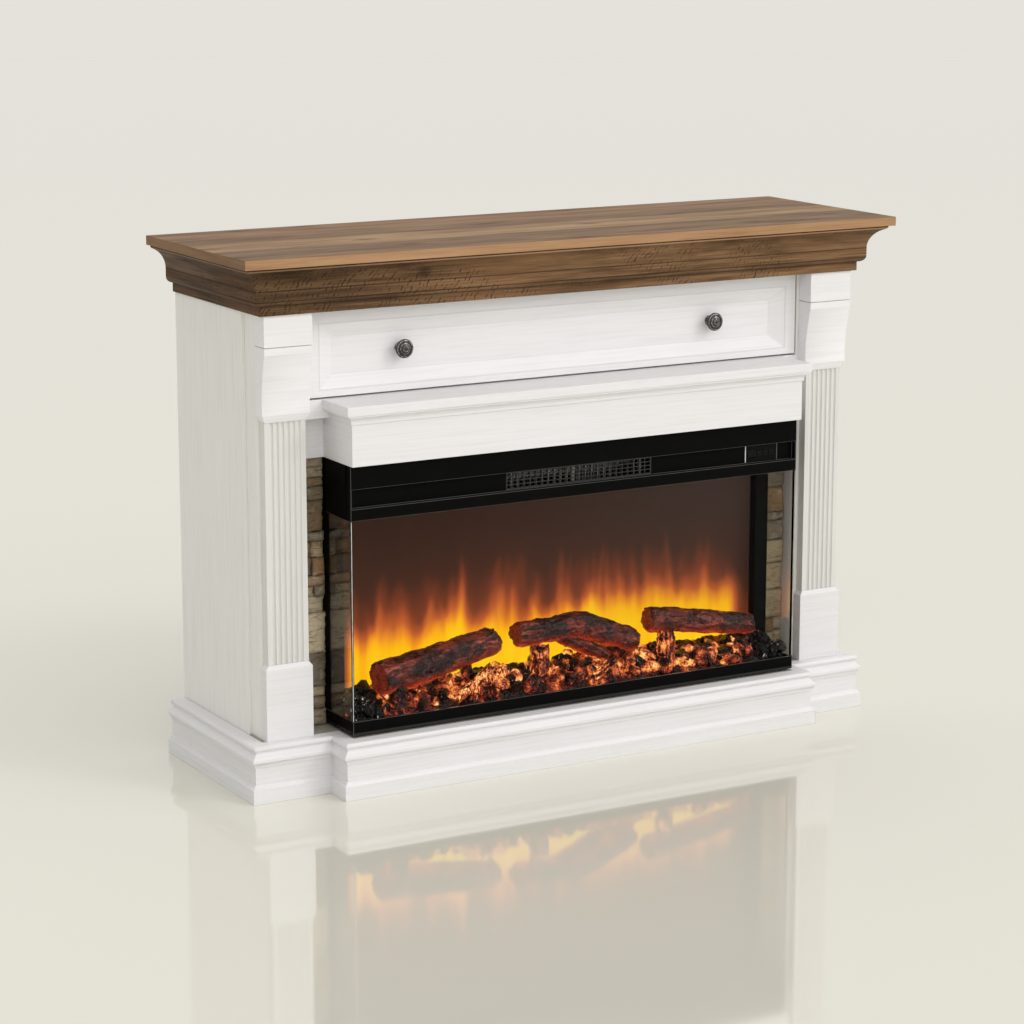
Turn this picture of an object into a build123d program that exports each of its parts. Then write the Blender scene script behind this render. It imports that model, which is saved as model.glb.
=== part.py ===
from build123d import *

import os
from math import cos, radians, sin

# Electric fireplace: a mantel cabinet with one drawer, and a three-sided glass firebox insert.
#
# Everything is drawn with the cabinet's back on y = 0 and its front towards -y, x from the middle
# and z up from the floor. Export moves it back by half the footprint's depth, so that the origin
# lies on the floor in the middle of the bounding box.

# ---- driving dimensions, mm ---------------------------------------------------------------------
HEIGHT = 860.0
TOP_WIDTH = 1200.0
TOP_DEPTH = 378.0
BOARD = 15.0                 # laminated board of the cabinet
BACKING = 3.2                # hardboard back
BASE_DEPTH = 389.0           # floor to the front of the centre plinth: the whole footprint's depth

CASE_HALF = 552.0            # outer face of the side panels
SIDE_DEPTH = 255.0           # side panels reach this far forward
PILASTER_FACE = 292.0        # depth of the pilaster boards' front face
PILASTER_IN = 466.0          # inner edge of the pilasters
PILASTER_OUT = 547.0
STONE_FACE = 268.0           # depth of the stone panels' front face

BASE_TOP = 91.0
FRIEZE_BOTTOM = 767.0
CROWN_FACE = 326.0           # depth of the carcass behind the crown
RAIL_DEPTH = 18.0            # rail behind the crown

INSERT_HALF = 419.0
INSERT_DEPTH = 358.0
INSERT_REAR = 62.0
INSERT_BOTTOM = 94.5
LIP_TOP = 117.0
HEADER_BOTTOM = 440.0
INSERT_TOP = 528.0
SCREEN_FACE = 262.0
GLASS = 4.0
SHEET = 2.0                  # folded sheet steel of the insert's case

DRAWER_TRAVEL = 240.0
SLIDE_GAP = 12.7             # side space that a ball-bearing slide needs
FIT = 0.05                   # radial running clearance of a shaft
SHAFT = 6.0                  # diameter of the flame rod's and the blower's shafts
ROD_DEPTH, ROD_Z = 200.0, 150.0
GLAND_X, GLAND_Z = -330.0, 150.0
GLAND_NECK = 8.0
CORD_RADIUS = 3.75

# ---- helpers ------------------------------------------------------------------------------------
nodes = {}


def add(name, *solids):
    """Keep one or more separate solids as a named node."""
    nodes.setdefault(name, []).extend(solids)


def block(x0, x1, y0, y1, z0, z1):
    """A box between two corners."""
    centre = Pos((x0 + x1) / 2, (y0 + y1) / 2, (z0 + z1) / 2)
    return centre * Box(abs(x1 - x0), abs(y1 - y0), abs(z1 - z0))


def flip(solid):
    """The same solid on the other side of the middle plane."""
    return mirror(solid, about=Plane.YZ)


def rod(start, end, r0, r1=None):
    """A round bar, or a taper, between two points."""
    start, end = Vector(*start), Vector(*end)
    plane = Plane(origin=start, z_dir=end - start)
    length = (end - start).length
    if r1 is None or abs(r1 - r0) < 1e-6:
        return Part(Solid.make_cylinder(r0, length, plane).wrapped)
    return Part(Solid.make_cone(r0, r1, length, plane).wrapped)


def outline(start, *steps):
    """Closed face in the XY plane: each step is an end point, or (via, end) for an arc."""
    edges = []
    here = start
    for step in steps:
        if isinstance(step[0], tuple):
            via, end = step
            edges.append(ThreePointArc(here, via, end))
        else:
            end = step
            edges.append(Line(here, end))
        here = end
    edges.append(Line(here, start))
    return make_face(Curve() + edges)


def plan(points, z0, z1):
    """A prism on a polygon of the floor plan."""
    return extrude(Pos(0, 0, z0) * outline(*points), z1 - z0, dir=(0, 0, 1))


def moulding(face, start, end, corner_start=0, corner_end=0):
    """Run a section along a straight face line, mitred at its ends.

    The section's x is the distance outwards from the line and its y is the height. Outwards is on
    the right hand of the way from start to end. A corner is 1 outside, -1 inside and 0 square.
    """
    reach = 60.0
    start, end = Vector(*start), Vector(*end)
    along = (end - start).normalized()
    out = Vector(along.Y, -along.X)
    plane = Plane(origin=start - along * reach, x_dir=out, z_dir=out.cross(Vector(0, 0, 1)))
    run = extrude(plane * face, (end - start).length + 2 * reach, dir=along)
    corners = [
        start - out * reach + along * (corner_start * reach),
        start + out * reach - along * (corner_start * reach),
        end + out * reach + along * (corner_end * reach),
        end - out * reach - along * (corner_end * reach),
    ]
    return run & plan([(p.X, p.Y) for p in corners], -10, HEIGHT + 10)


# ---- top board and crown ------------------------------------------------------------------------
def build_crown():
    top_underside = HEIGHT - BOARD
    half = TOP_WIDTH / 2
    add("top_board", block(-half, half, -TOP_DEPTH, 0, top_underside, HEIGHT))

    frieze, bead, lip = 4.0, 15.5, 41.0
    cove = 35.0
    frieze_top = FRIEZE_BOTTOM + 15.0
    bead_radius = bead - frieze - 1.0
    bead_low = frieze_top + bead_radius
    cove_low = FRIEZE_BOTTOM + 39.0
    angle = radians(109)
    middle = radians(145)
    cove_point = (bead + cove + cove * cos(angle), cove_low + cove * sin(angle))
    cove_middle = (bead + cove + cove * cos(middle), cove_low + cove * sin(middle))
    bead_via = (bead - bead_radius * (1 - cos(radians(45))), bead_low - bead_radius * sin(radians(45)))
    face = outline(
        (0, FRIEZE_BOTTOM),
        (frieze, FRIEZE_BOTTOM),
        (frieze, frieze_top),
        (frieze + 1.0, frieze_top),
        (bead_via, (bead, bead_low)),
        (bead, cove_low),
        (cove_middle, cove_point),
        (lip, top_underside - 4.0),
        (lip, top_underside),
        (0, top_underside),
    )
    left, right = (-CASE_HALF, -CROWN_FACE), (CASE_HALF, -CROWN_FACE)
    add("crown_front", moulding(face, left, right, 1, 1))
    side = moulding(face, right, (CASE_HALF, 0), 1, 0)
    add("crown_right", side)
    add("crown_left", flip(side))
    rail_back = -CROWN_FACE + RAIL_DEPTH
    add("head_rail", block(-CASE_HALF, CASE_HALF, -CROWN_FACE, rail_back, FRIEZE_BOTTOM, top_underside))


# ---- carcass ------------------------------------------------------------------------------------
PARTITION_OUT = PILASTER_IN + BOARD
SCREW_HEIGHTS = (150.0, 430.0, 700.0)
HEAD_RECESS = 1.8            # the hardboard back lies this far in, by the height of a screw's head
RAIL_BOTTOM = 594.5
DRAWER_FLOOR = 624.5
DRAWER_HOLE_HALF = 460.0


def build_carcass():
    top_underside = HEIGHT - BOARD
    side = block(CASE_HALF - BOARD, CASE_HALF, -SIDE_DEPTH, 0, 0, top_underside)
    nose_front = -CROWN_FACE + RAIL_DEPTH
    nose = block(CASE_HALF - BOARD, CASE_HALF, nose_front, -SIDE_DEPTH, FRIEZE_BOTTOM, top_underside)
    side = side + nose
    add("side_panel_right", side)
    add("side_panel_left", flip(side))

    rear = -HEAD_RECESS - BACKING
    behind = -PILASTER_FACE + BOARD
    partition = block(PILASTER_IN, PARTITION_OUT, behind, rear, BASE_TOP, top_underside)
    screws = []
    for z in SCREW_HEIGHTS:
        x = PILASTER_IN + BOARD / 2
        shank = rod((x, -18, z), (x, -HEAD_RECESS, z), 1.9)
        partition = partition - shank
        screws.append(shank + rod((x, -HEAD_RECESS, z), (x, 0, z), 3.6))
    lining = block(DRAWER_HOLE_HALF, PILASTER_IN, behind, rear, DRAWER_FLOOR, FRIEZE_BOTTOM)
    add("partitions", partition, flip(partition), lining, flip(lining))
    add("cabinet_screws", *screws, *[flip(screw) for screw in screws])

    inner = CASE_HALF - BOARD
    back = block(-inner, inner, rear, -HEAD_RECESS, 0, top_underside)
    back = back - block(-400, 400, -20, 10, 120, 505)
    for screw in screws:
        back = back - screw - flip(screw)
    add("back_panel", back)

    # Pilaster: a front board with its outer edge folded back to meet the side panel.
    board = block(PILASTER_IN, PILASTER_OUT, -PILASTER_FACE, behind, BASE_TOP, FRIEZE_BOTTOM)
    fold = block(PILASTER_OUT - BOARD, PILASTER_OUT, -PILASTER_FACE, -SIDE_DEPTH, BASE_TOP, FRIEZE_BOTTOM)
    cheek = block(DRAWER_HOLE_HALF, PILASTER_IN, -PILASTER_FACE, behind, DRAWER_FLOOR, FRIEZE_BOTTOM)
    board = board + fold + cheek
    add("pilaster_boards", board, flip(board))

    width = (-PILASTER_IN, PILASTER_IN)
    stone_back = -STONE_FACE + BOARD
    add("recess_board", block(*width, -STONE_FACE, stone_back, INSERT_TOP, RAIL_BOTTOM))
    add("drawer_rail", block(*width, -PILASTER_FACE, behind, RAIL_BOTTOM, DRAWER_FLOOR))
    add("drawer_deck", block(*width, behind, rear, DRAWER_FLOOR - BOARD, DRAWER_FLOOR))

    stone = block(INSERT_HALF, PILASTER_IN, -STONE_FACE, stone_back, BASE_TOP, INSERT_TOP)
    add("stone_panels", stone, flip(stone))


# ---- pilaster dressings -------------------------------------------------------------------------
FLUTES = 6
FLUTE_PITCH = 9.4
FLUTE_RADIUS = 3.1
PLINTH_TOP = 213.5
COLUMN_TOP = 598.5
CAP_SEAM = 717.5


def shoulder(x0, x1, depth, z0, z1, inset, front_inset):
    """A bevelled length of a block whose back is on the pilaster board."""
    low = Plane.XY.offset(z0) * Pos((x0 + x1) / 2, -(depth + PILASTER_FACE) / 2)
    low = low * Rectangle(x1 - x0, depth - PILASTER_FACE)
    top_depth = depth - front_inset
    high = Plane.XY.offset(z1) * Pos((x0 + x1) / 2, -(top_depth + PILASTER_FACE) / 2)
    high = high * Rectangle(x1 - x0 - 2 * inset, top_depth - PILASTER_FACE)
    return loft([low, high])


def build_pilaster_dressings():
    # Fluted column, standing between the plinth block and the corbel.
    x0, x1, front = 471.0, 541.5, 309.0
    middle = (x0 + x1) / 2
    section = Pos(middle, -(PILASTER_FACE + front) / 2) * Rectangle(x1 - x0, front - PILASTER_FACE)
    for i in range(FLUTES):
        x = middle + (i - (FLUTES - 1) / 2) * FLUTE_PITCH
        section = section - Pos(x, -front - 0.4) * Circle(FLUTE_RADIUS)
    column = Pos(0, 0, PLINTH_TOP) * extrude(section, COLUMN_TOP - PLINTH_TOP)
    add("fluted_columns", column, flip(column))

    # Plinth block with bevelled shoulders.
    face_top = PLINTH_TOP - 7.0
    plinth = block(PILASTER_IN, PILASTER_OUT, -312.5, -PILASTER_FACE, BASE_TOP, face_top)
    plinth = plinth + shoulder(PILASTER_IN, PILASTER_OUT, 312.5, face_top, PLINTH_TOP, 5.5, 3.0)
    add("plinth_blocks", plinth, flip(plinth))

    # Corbel: hollow-curved front that leans out under the cap, and a bevelled foot.
    low, foot, face_foot = 610.5, 314.0, COLUMN_TOP
    profile = outline(
        (PILASTER_FACE, low),
        (foot, low),
        ((316.5, (low + CAP_SEAM) / 2), (CROWN_FACE, CAP_SEAM - 12)),
        (CROWN_FACE, CAP_SEAM - 0.8),
        (PILASTER_FACE, CAP_SEAM - 0.8),
    )
    side = Plane(origin=(465.2, 0, 0), x_dir=(0, -1, 0), z_dir=(-1, 0, 0))
    corbel = extrude(side * profile, 547.2 - 465.2, dir=(1, 0, 0))
    bevel = shoulder(465.2, 547.2, foot, low, face_foot, 6.0, 4.0)
    corbel = corbel + bevel
    add("corbels", corbel, flip(corbel))
    cap = block(465.2, 547.2, -CROWN_FACE, -PILASTER_FACE, CAP_SEAM, FRIEZE_BOTTOM)
    add("corbel_caps", cap, flip(cap))


# ---- mantel shelf over the firebox --------------------------------------------------------------
FACIA_HALF = 421.0
FACIA_FACE = 369.0
SHELF_TOP = 624.5


def build_shelf():
    shelf_low = SHELF_TOP - BOARD
    add("mantel_shelf", block(-433.5, 433.5, -380, -PILASTER_FACE, shelf_low, SHELF_TOP))
    front = block(-FACIA_HALF, FACIA_HALF, -FACIA_FACE, -FACIA_FACE + BOARD, INSERT_TOP, shelf_low)
    side = block(FACIA_HALF - BOARD, FACIA_HALF, -FACIA_FACE + BOARD, -PILASTER_FACE, INSERT_TOP, shelf_low)
    rear = block(FACIA_HALF - BOARD, FACIA_HALF, -PILASTER_FACE, -STONE_FACE, INSERT_TOP, RAIL_BOTTOM)
    side = side + rear
    add("facia_box", front, side, flip(side))

    low = shelf_low - 15.0
    face = outline(
        (0, low),
        (2, low),
        (2, low + 2),
        ((4.2, low + 8.6), (9, shelf_low - 3)),
        (9, shelf_low),
        (0, shelf_low),
    )
    corner = (FACIA_HALF, -FACIA_FACE)
    run = moulding(face, (-FACIA_HALF, -FACIA_FACE), corner, 1, 1)
    end = moulding(face, corner, (FACIA_HALF, -PILASTER_FACE), 1, 0)
    add("shelf_moulding", run, end, flip(end))


# ---- base ---------------------------------------------------------------------------------------
CENTRE_HALF = 442.0          # flat face of the centre plinth
CENTRE_FLAT = 382.0
WING_HALF = 575.5
WING_FLAT = 329.0
SKIRT = 22.5                 # thickness behind the flat face


def build_base():
    face = outline(
        (-SKIRT, 0),
        (7, 0),
        (7, 23),
        ((4.2, 25.2), (2.5, 28)),
        (0, 29.5),
        (0, 57),
        (2, 58),
        ((3.4, 63.2), (6.7, 66.5)),
        (6.7, 70.5),
        (-2, 79.5),
        (-2, 82),
        ((1.6, 86.5), (-2, BASE_TOP)),
        (-SKIRT, BASE_TOP),
    )
    corner = (CENTRE_HALF, -CENTRE_FLAT)
    inner = (CENTRE_HALF, -WING_FLAT)
    outer = (WING_HALF, -WING_FLAT)
    centre_return = moulding(face, corner, inner, 1, -1)
    add("skirt_centre", moulding(face, (-CENTRE_HALF, -CENTRE_FLAT), corner, 1, 1))
    add("skirt_centre", centre_return, flip(centre_return))
    wing_front = moulding(face, inner, outer, -1, 1)
    wing_side = moulding(face, outer, (WING_HALF, 0), 1, 0)
    add("skirt_right", wing_front, wing_side)
    add("skirt_left", flip(wing_front), flip(wing_side))

    tongue = CENTRE_HALF - SKIRT
    wing = WING_FLAT - SKIRT
    inside = CASE_HALF - BOARD
    right = [(tongue, -CENTRE_FLAT + SKIRT), (tongue, -wing), (CASE_HALF, -wing),
             (CASE_HALF, -SIDE_DEPTH), (inside, -SIDE_DEPTH), (inside, -1.8 - BACKING)]
    left = [(-x, y) for x, y in reversed(right)]
    add("base_deck", plan(right + left, BASE_TOP - BOARD, BASE_TOP))


# ---- drawer -------------------------------------------------------------------------------------
DRAWER_HALF = 457.8
DRAWER_FACE = 291.0
DRAWER_BACK_OF_FRONT = 271.0
BOX_HALF = DRAWER_HOLE_HALF - SLIDE_GAP
BOX_SIDE = 12.0
BOX_REAR = 31.0
BOX_LOW, BOX_TOP = 640.0, 736.0
KNOB_X, KNOB_Z = 291.5, 694.0
SLIDE_Z = 690.0


def knob(x):
    """A turned knob on a threaded stud through the drawer front."""
    base = DRAWER_FACE - 11.0
    profile = outline(
        (0, -16),
        (2, -16),
        (2, 0.2),
        (9, 0.2),
        (9, 1.8),
        ((6.6, 3.6), (5.4, 7)),
        (6.0, 11),
        ((10.4, 12.6), (14.3, 15.5)),
        ((15.3, 17.4), (14.2, 19.4)),
        (11.5, 20.4),
        (10.6, 19.6),
        (7.8, 21.2),
        ((4.6, 22.8), (1.0, 23.4)),
        (0, 23.4),
    )
    turned = revolve(profile, axis=Axis.Y)
    return Pos(x, -base, KNOB_Z) * Rot(180, 0, 0) * turned


def slide_member(back, facing, half_height, lip, rear, front):
    """A rolled C channel on edge: its back is at x = back and its lips point in x, by facing."""
    wall = 1.4
    channel = block(back, back + facing * wall, -front, -rear, SLIDE_Z - half_height, SLIDE_Z + half_height)
    for side in (-1, 1):
        edge = SLIDE_Z + side * half_height
        channel = channel + block(back, back + facing * lip, -front, -rear, edge - side * wall, edge)
    return channel


def build_drawer():
    front = block(-DRAWER_HALF, DRAWER_HALF, -DRAWER_FACE, -DRAWER_BACK_OF_FRONT, 627.5, 764.0)
    panel_half, bead_half = 410.0, 437.5
    mouth = Plane(origin=(0, -DRAWER_FACE - 0.01, 690.6), x_dir=(1, 0, 0), z_dir=(0, 1, 0))
    floor = Plane(origin=(0, -DRAWER_FACE + 11.0, 690.6), x_dir=(1, 0, 0), z_dir=(0, 1, 0))
    pocket = loft([mouth * Rectangle(2 * bead_half, 103.6), floor * Rectangle(2 * panel_half, 59.6)])
    front = front - pocket
    bottom_low, bottom_top, groove = 646.0, 650.0, 5.5
    inner = BOX_HALF - BOX_SIDE
    edge = inner + groove
    bottom_front = -DRAWER_BACK_OF_FRONT - groove
    bottom = block(-edge, edge, bottom_front, -BOX_REAR, bottom_low, bottom_top)
    front = front - bottom
    for x in (-KNOB_X, KNOB_X):
        front = front - rod((x, -DRAWER_FACE - 5, KNOB_Z), (x, -DRAWER_BACK_OF_FRONT + 5, KNOB_Z), 2.0)
    add("drawer_front", front)

    side = block(inner, BOX_HALF, -DRAWER_BACK_OF_FRONT, -BOX_REAR, BOX_LOW, BOX_TOP) - bottom
    add("drawer_sides", side, flip(side))
    add("drawer_back", block(-inner, inner, -BOX_REAR - BOX_SIDE, -BOX_REAR, bottom_top, BOX_TOP))
    add("drawer_bottom", bottom)
    add("knob_right", knob(KNOB_X))
    add("knob_left", knob(-KNOB_X))

    # Three-member ball-bearing slides, one on each side, each member inside the next.
    front_end = 270.0
    cabinet = slide_member(DRAWER_HOLE_HALF, -1, 22.5, 10.0, 22.0, front_end)
    middle = slide_member(DRAWER_HOLE_HALF - 3.0, -1, 20.0, 8.0, 30.0, front_end)
    inner_member = slide_member(BOX_HALF, 1, 17.0, 7.0, BOX_REAR, front_end)
    add("slide_cabinet_members", cabinet, flip(cabinet))
    add("slide_middle_members", middle, flip(middle))
    add("slide_drawer_members", inner_member, flip(inner_member))


# ---- firebox insert -----------------------------------------------------------------------------
SLOT_LOW, SLOT_HIGH = 459.0, 490.0
SLOT_FLOOR = INSERT_DEPTH - 10.0
HEADER_BACK = INSERT_DEPTH - 17.0
OUTLET_HALF = 136.0
PANEL_X0, PANEL_X1 = 321.5, 386.0
SCREEN_HALF = 392.0
SCREEN_REAR = SCREEN_FACE - 4.0
CASE_WALL = INSERT_HALF - 4.0
CASE_FLOOR = INSERT_BOTTOM + 4.0
POST_FRONT = 280.0


def build_case():
    rear = -SCREEN_REAR
    lid_low = INSERT_TOP - SHEET
    side = block(CASE_WALL - SHEET, CASE_WALL, rear, -INSERT_REAR, CASE_FLOOR, lid_low)
    rod_hole = rod((-CASE_WALL - 5, -ROD_DEPTH, ROD_Z), (-CASE_WALL + 5, -ROD_DEPTH, ROD_Z), SHAFT / 2 + FIT)
    floor = block(-CASE_WALL, CASE_WALL, rear, -INSERT_REAR, CASE_FLOOR - SHEET, CASE_FLOOR)
    inner = CASE_WALL - SHEET
    back = block(-inner, inner, -INSERT_REAR - SHEET, -INSERT_REAR, CASE_FLOOR, lid_low)
    vent_slots, vent_pitch = 14, 16.0
    for i in range(vent_slots):
        x = (i - (vent_slots - 1) / 2) * vent_pitch
        back = back - block(x - 3, x + 3, -INSERT_REAR - 5, -INSERT_REAR + 5, 455, 495)
    back = back - rod((GLAND_X, -INSERT_REAR - 5, GLAND_Z), (GLAND_X, -INSERT_REAR + 5, GLAND_Z), GLAND_NECK)
    lid = block(-CASE_WALL, CASE_WALL, -HEADER_BACK, -INSERT_REAR, lid_low, INSERT_TOP)
    ceiling = block(-CASE_WALL, CASE_WALL, -HEADER_BACK, rear, HEADER_BOTTOM, HEADER_BOTTOM + SHEET)
    post = block(SCREEN_HALF, CASE_WALL, -POST_FRONT, rear, CASE_FLOOR, HEADER_BOTTOM)
    post = post + block(CASE_WALL, INSERT_HALF, -POST_FRONT, rear, LIP_TOP, HEADER_BOTTOM)
    add("firebox_case", side, flip(side) - rod_hole, floor, back, lid, ceiling, post, flip(post))

    # Shallow tray under the ember bed: a floor on six pads, with upstands round its front and sides.
    tray = block(-INSERT_HALF, INSERT_HALF, -INSERT_DEPTH, rear, INSERT_BOTTOM, CASE_FLOOR)
    front = block(-INSERT_HALF, INSERT_HALF, -INSERT_DEPTH, -INSERT_DEPTH + GLASS, CASE_FLOOR, LIP_TOP)
    cheek = block(INSERT_HALF - GLASS, INSERT_HALF, -INSERT_DEPTH + GLASS, rear, CASE_FLOOR, LIP_TOP)
    pads = [block(x - 12, x + 12, y - 12, y + 12, BASE_TOP, INSERT_BOTTOM)
            for x in (-390, 0, 390) for y in (-335, -280)]
    add("lip_tray", tray, front, cheek, flip(cheek), *pads)


def build_header():
    bar = block(-INSERT_HALF, INSERT_HALF, -INSERT_DEPTH, -HEADER_BACK, HEADER_BOTTOM, INSERT_TOP)
    slot_half = INSERT_HALF - 2.0
    bar = bar - block(-slot_half, slot_half, -INSERT_DEPTH - 1, -SLOT_FLOOR, SLOT_LOW, SLOT_HIGH)
    outlet = (-OUTLET_HALF, OUTLET_HALF, -SLOT_FLOOR - 1, -HEADER_BACK + 1, SLOT_LOW + 2, SLOT_HIGH - 2)
    window = (PANEL_X0 + 1.5, PANEL_X1 - 1.5, -SLOT_FLOOR - 1, -HEADER_BACK + 1, SLOT_LOW + 4, SLOT_HIGH - 4)
    bar = bar - block(*outlet) - block(*window)
    cheek = block(INSERT_HALF - 2 * SHEET, INSERT_HALF, -HEADER_BACK, -STONE_FACE, HEADER_BOTTOM, INSERT_TOP)
    add("insert_header", bar, cheek, flip(cheek))

    # Square-mesh outlet grille, filling the outlet hole flush with the slot's floor.
    columns, rows, bar_width = 25, 4, 1.5
    low, high = SLOT_LOW + 2, SLOT_HIGH - 2
    grille = block(-OUTLET_HALF, OUTLET_HALF, -SLOT_FLOOR, -SLOT_FLOOR + 2, low, high)
    pitch_x = (2 * OUTLET_HALF - bar_width) / columns
    pitch_z = (high - low - bar_width) / rows
    mesh_holes = Pos(0, -SLOT_FLOOR + 1, (low + high) / 2) * Rot(90, 0, 0) * extrude(
        Sketch() + GridLocations(pitch_x, pitch_z, columns, rows)
        * Rectangle(pitch_x - bar_width, pitch_z - bar_width), 5, both=True)
    add("header_grille", grille - mesh_holes)

    glass_back = -INSERT_DEPTH + GLASS
    pane = block(-INSERT_HALF, INSERT_HALF, -INSERT_DEPTH, glass_back, LIP_TOP, HEADER_BOTTOM)
    add("glass_front", pane)
    side = block(INSERT_HALF - GLASS, INSERT_HALF, glass_back, -POST_FRONT, LIP_TOP, HEADER_BOTTOM)
    add("glass_sides", side, flip(side))
    screen = block(-SCREEN_HALF, SCREEN_HALF, -SCREEN_FACE, -SCREEN_REAR, CASE_FLOOR, HEADER_BOTTOM)
    add("flame_screen", screen)


# ---- controls -----------------------------------------------------------------------------------
BUTTONS = {"heat_button": 350.0, "flame_button": 362.0, "timer_button": 374.0}
BUTTON_RADIUS = 4.0
ROCKER_X = 334.0
ROCKER_TILT = 8.0
ROCKER_PIVOT = SLOT_FLOOR - 1.0
AXLE_HALF = 10.2
AXLE_RADIUS = 1.2


def build_controls():
    middle = (SLOT_LOW + SLOT_HIGH) / 2
    front = SLOT_FLOOR + 1.2
    plate = block(PANEL_X0, PANEL_X1, -front, -SLOT_FLOOR, SLOT_LOW + 1.5, SLOT_HIGH - 1.5)
    plug = block(PANEL_X0 + 2, PANEL_X1 - 2, -SLOT_FLOOR, -SLOT_FLOOR + 4, SLOT_LOW + 4.5, SLOT_HIGH - 4.5)
    plate = plate + plug
    window_half = (8.6, 7.2)
    plate = plate - block(ROCKER_X - window_half[0], ROCKER_X + window_half[0], -400, -300,
                          middle - window_half[1], middle + window_half[1])
    for x in BUTTONS.values():
        plate = plate - rod((x, -400, middle), (x, -300, middle), BUTTON_RADIUS + 0.4)
    bore_half = AXLE_HALF + 0.4
    bore_ends = [(ROCKER_X + x, -ROCKER_PIVOT, middle) for x in (-bore_half, bore_half)]
    plate = plate - rod(*bore_ends, AXLE_RADIUS + FIT)
    add("control_panel", plate)

    # Rocker with its upper half pressed, on an axle that turns in the panel.
    axle_ends = [(ROCKER_X + x, -ROCKER_PIVOT, middle) for x in (-AXLE_HALF, AXLE_HALF)]
    axle = rod(*axle_ends, AXLE_RADIUS)
    body = Box(16, 7, 12)
    add("power_rocker", Pos(ROCKER_X, -ROCKER_PIVOT, middle) * Rot(-ROCKER_TILT, 0, 0) * body + axle)
    for name, x in BUTTONS.items():
        add(name, rod((x, -front - 1.6, middle), (x, -SLOT_FLOOR + 4.7, middle), BUTTON_RADIUS))
    board = block(300, 404, -HEADER_BACK + 3, -HEADER_BACK + 4.6, 446, 520)
    for x in BUTTONS.values():
        board = board + block(x - 3, x + 3, -HEADER_BACK - 1, -HEADER_BACK + 3, middle - 3, middle + 3)
    board = board + block(310, 330, -HEADER_BACK + 4.6, -HEADER_BACK + 20, 495, 515)
    board = board + rod((392, -HEADER_BACK + 4, 506), (392, -HEADER_BACK + 24, 506), 6)
    add("circuit_board", board)


# ---- flame effect -------------------------------------------------------------------------------
LIGHT_COUNT = 24
LIGHT_PITCH = 31.0


def build_flame_effect():
    spindle = rod((-CASE_WALL - 1.5, -ROD_DEPTH, ROD_Z), (378, -ROD_DEPTH, ROD_Z), SHAFT / 2)
    fins, fin_step, turn = 28, 26.0, 67.0
    for i in range(fins):
        x = (i - (fins - 1) / 2) * fin_step
        fin = Pos(x, -ROD_DEPTH, ROD_Z) * Rot(i * turn, 0, 0) * Rot(0, 0, 25) * Box(12, 0.8, 38)
        spindle = spindle + fin
    add("flame_rod", spindle)
    motor = block(372, 396, -ROD_DEPTH - 24, -ROD_DEPTH + 24, ROD_Z - 24, ROD_Z + 24)
    motor = motor - rod((360, -ROD_DEPTH, ROD_Z), (380, -ROD_DEPTH, ROD_Z), SHAFT / 2 + FIT)
    bracket = block(396, CASE_WALL - SHEET, -ROD_DEPTH - 24, -ROD_DEPTH + 24, ROD_Z - 24, ROD_Z - 21)
    add("rod_motor", motor + bracket)

    tape_top = CASE_FLOOR + 1.6
    for low_y in (-345.0, -244.0):
        strip = block(-380, 380, low_y, low_y + 12, CASE_FLOOR, tape_top)
        for i in range(LIGHT_COUNT):
            x = (i - (LIGHT_COUNT - 1) / 2) * LIGHT_PITCH
            strip = strip + block(x - 2.5, x + 2.5, low_y + 3.5, low_y + 8.5, tape_top, tape_top + 1.6)
        add("led_strips", strip)


def build_fuel_bed():
    left = rod((-358, -321, 170), (-129, -294, 199), 29, 24)
    centre = rod((-96, -304, 206), (22, -302, 208), 21, 22)
    centre = centre + rod((14, -302, 208), (138, -305, 166), 24, 19)
    centre = centre + rod((-8, -304, 194), (76, -310, 152), 13, 11)
    right = rod((158, -302, 200), (372, -302, 166), 21, 17)
    logs = [left, centre, right]

    rear, front = -SCREEN_FACE - 2, -INSERT_DEPTH + GLASS + 3
    side = Plane(origin=(-CASE_WALL + 3, 0, 0), x_dir=(0, 1, 0), z_dir=(1, 0, 0))
    face = outline(
        (rear, CASE_FLOOR),
        (front, CASE_FLOOR),
        (front, 112),
        (-336, 124),
        (-300, 139),
        (-275, 149),
        (rear, 149),
    )
    bed = extrude(side * face, 2 * CASE_WALL - 6, dir=(1, 0, 0))
    stumps = [((-325, -326, 110), (-318, -322, 160), 22), ((-150, -296, 120), (-145, -292, 186), 17),
              ((-62, -300, 120), (-52, -302, 198), 19), ((184, -306, 120), (192, -302, 190), 18),
              ((340, -304, 120), (344, -302, 160), 18), ((60, -308, 120), (60, -306, 158), 15)]
    for start, end, radius in stumps:
        bed = bed + rod(start, end, radius, radius * 0.7)
    pocket = block(-384, 384, -349, -329, CASE_FLOOR - 1, CASE_FLOOR + 5)
    post = block(SCREEN_HALF - 1, CASE_WALL, -POST_FRONT - 2, rear, CASE_FLOOR, 200)
    bed = bed - pocket - post - flip(post)
    for log in logs:
        bed = bed - log
    add("ember_bed", bed)
    for name, log in zip(("log_left", "log_centre", "log_right"), logs):
        add(name, log)


# ---- fan heater ---------------------------------------------------------------------------------
DUCT_HALF = 141.0
BLOWER_DEPTH, BLOWER_Z = 274.0, 484.0
BLOWER_RADIUS = 25.0


def blower_rod(x0, x1, radius):
    """A round bar on the blower's axis between two places along it."""
    return rod((x0, -BLOWER_DEPTH, BLOWER_Z), (x1, -BLOWER_DEPTH, BLOWER_Z), radius)


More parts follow.
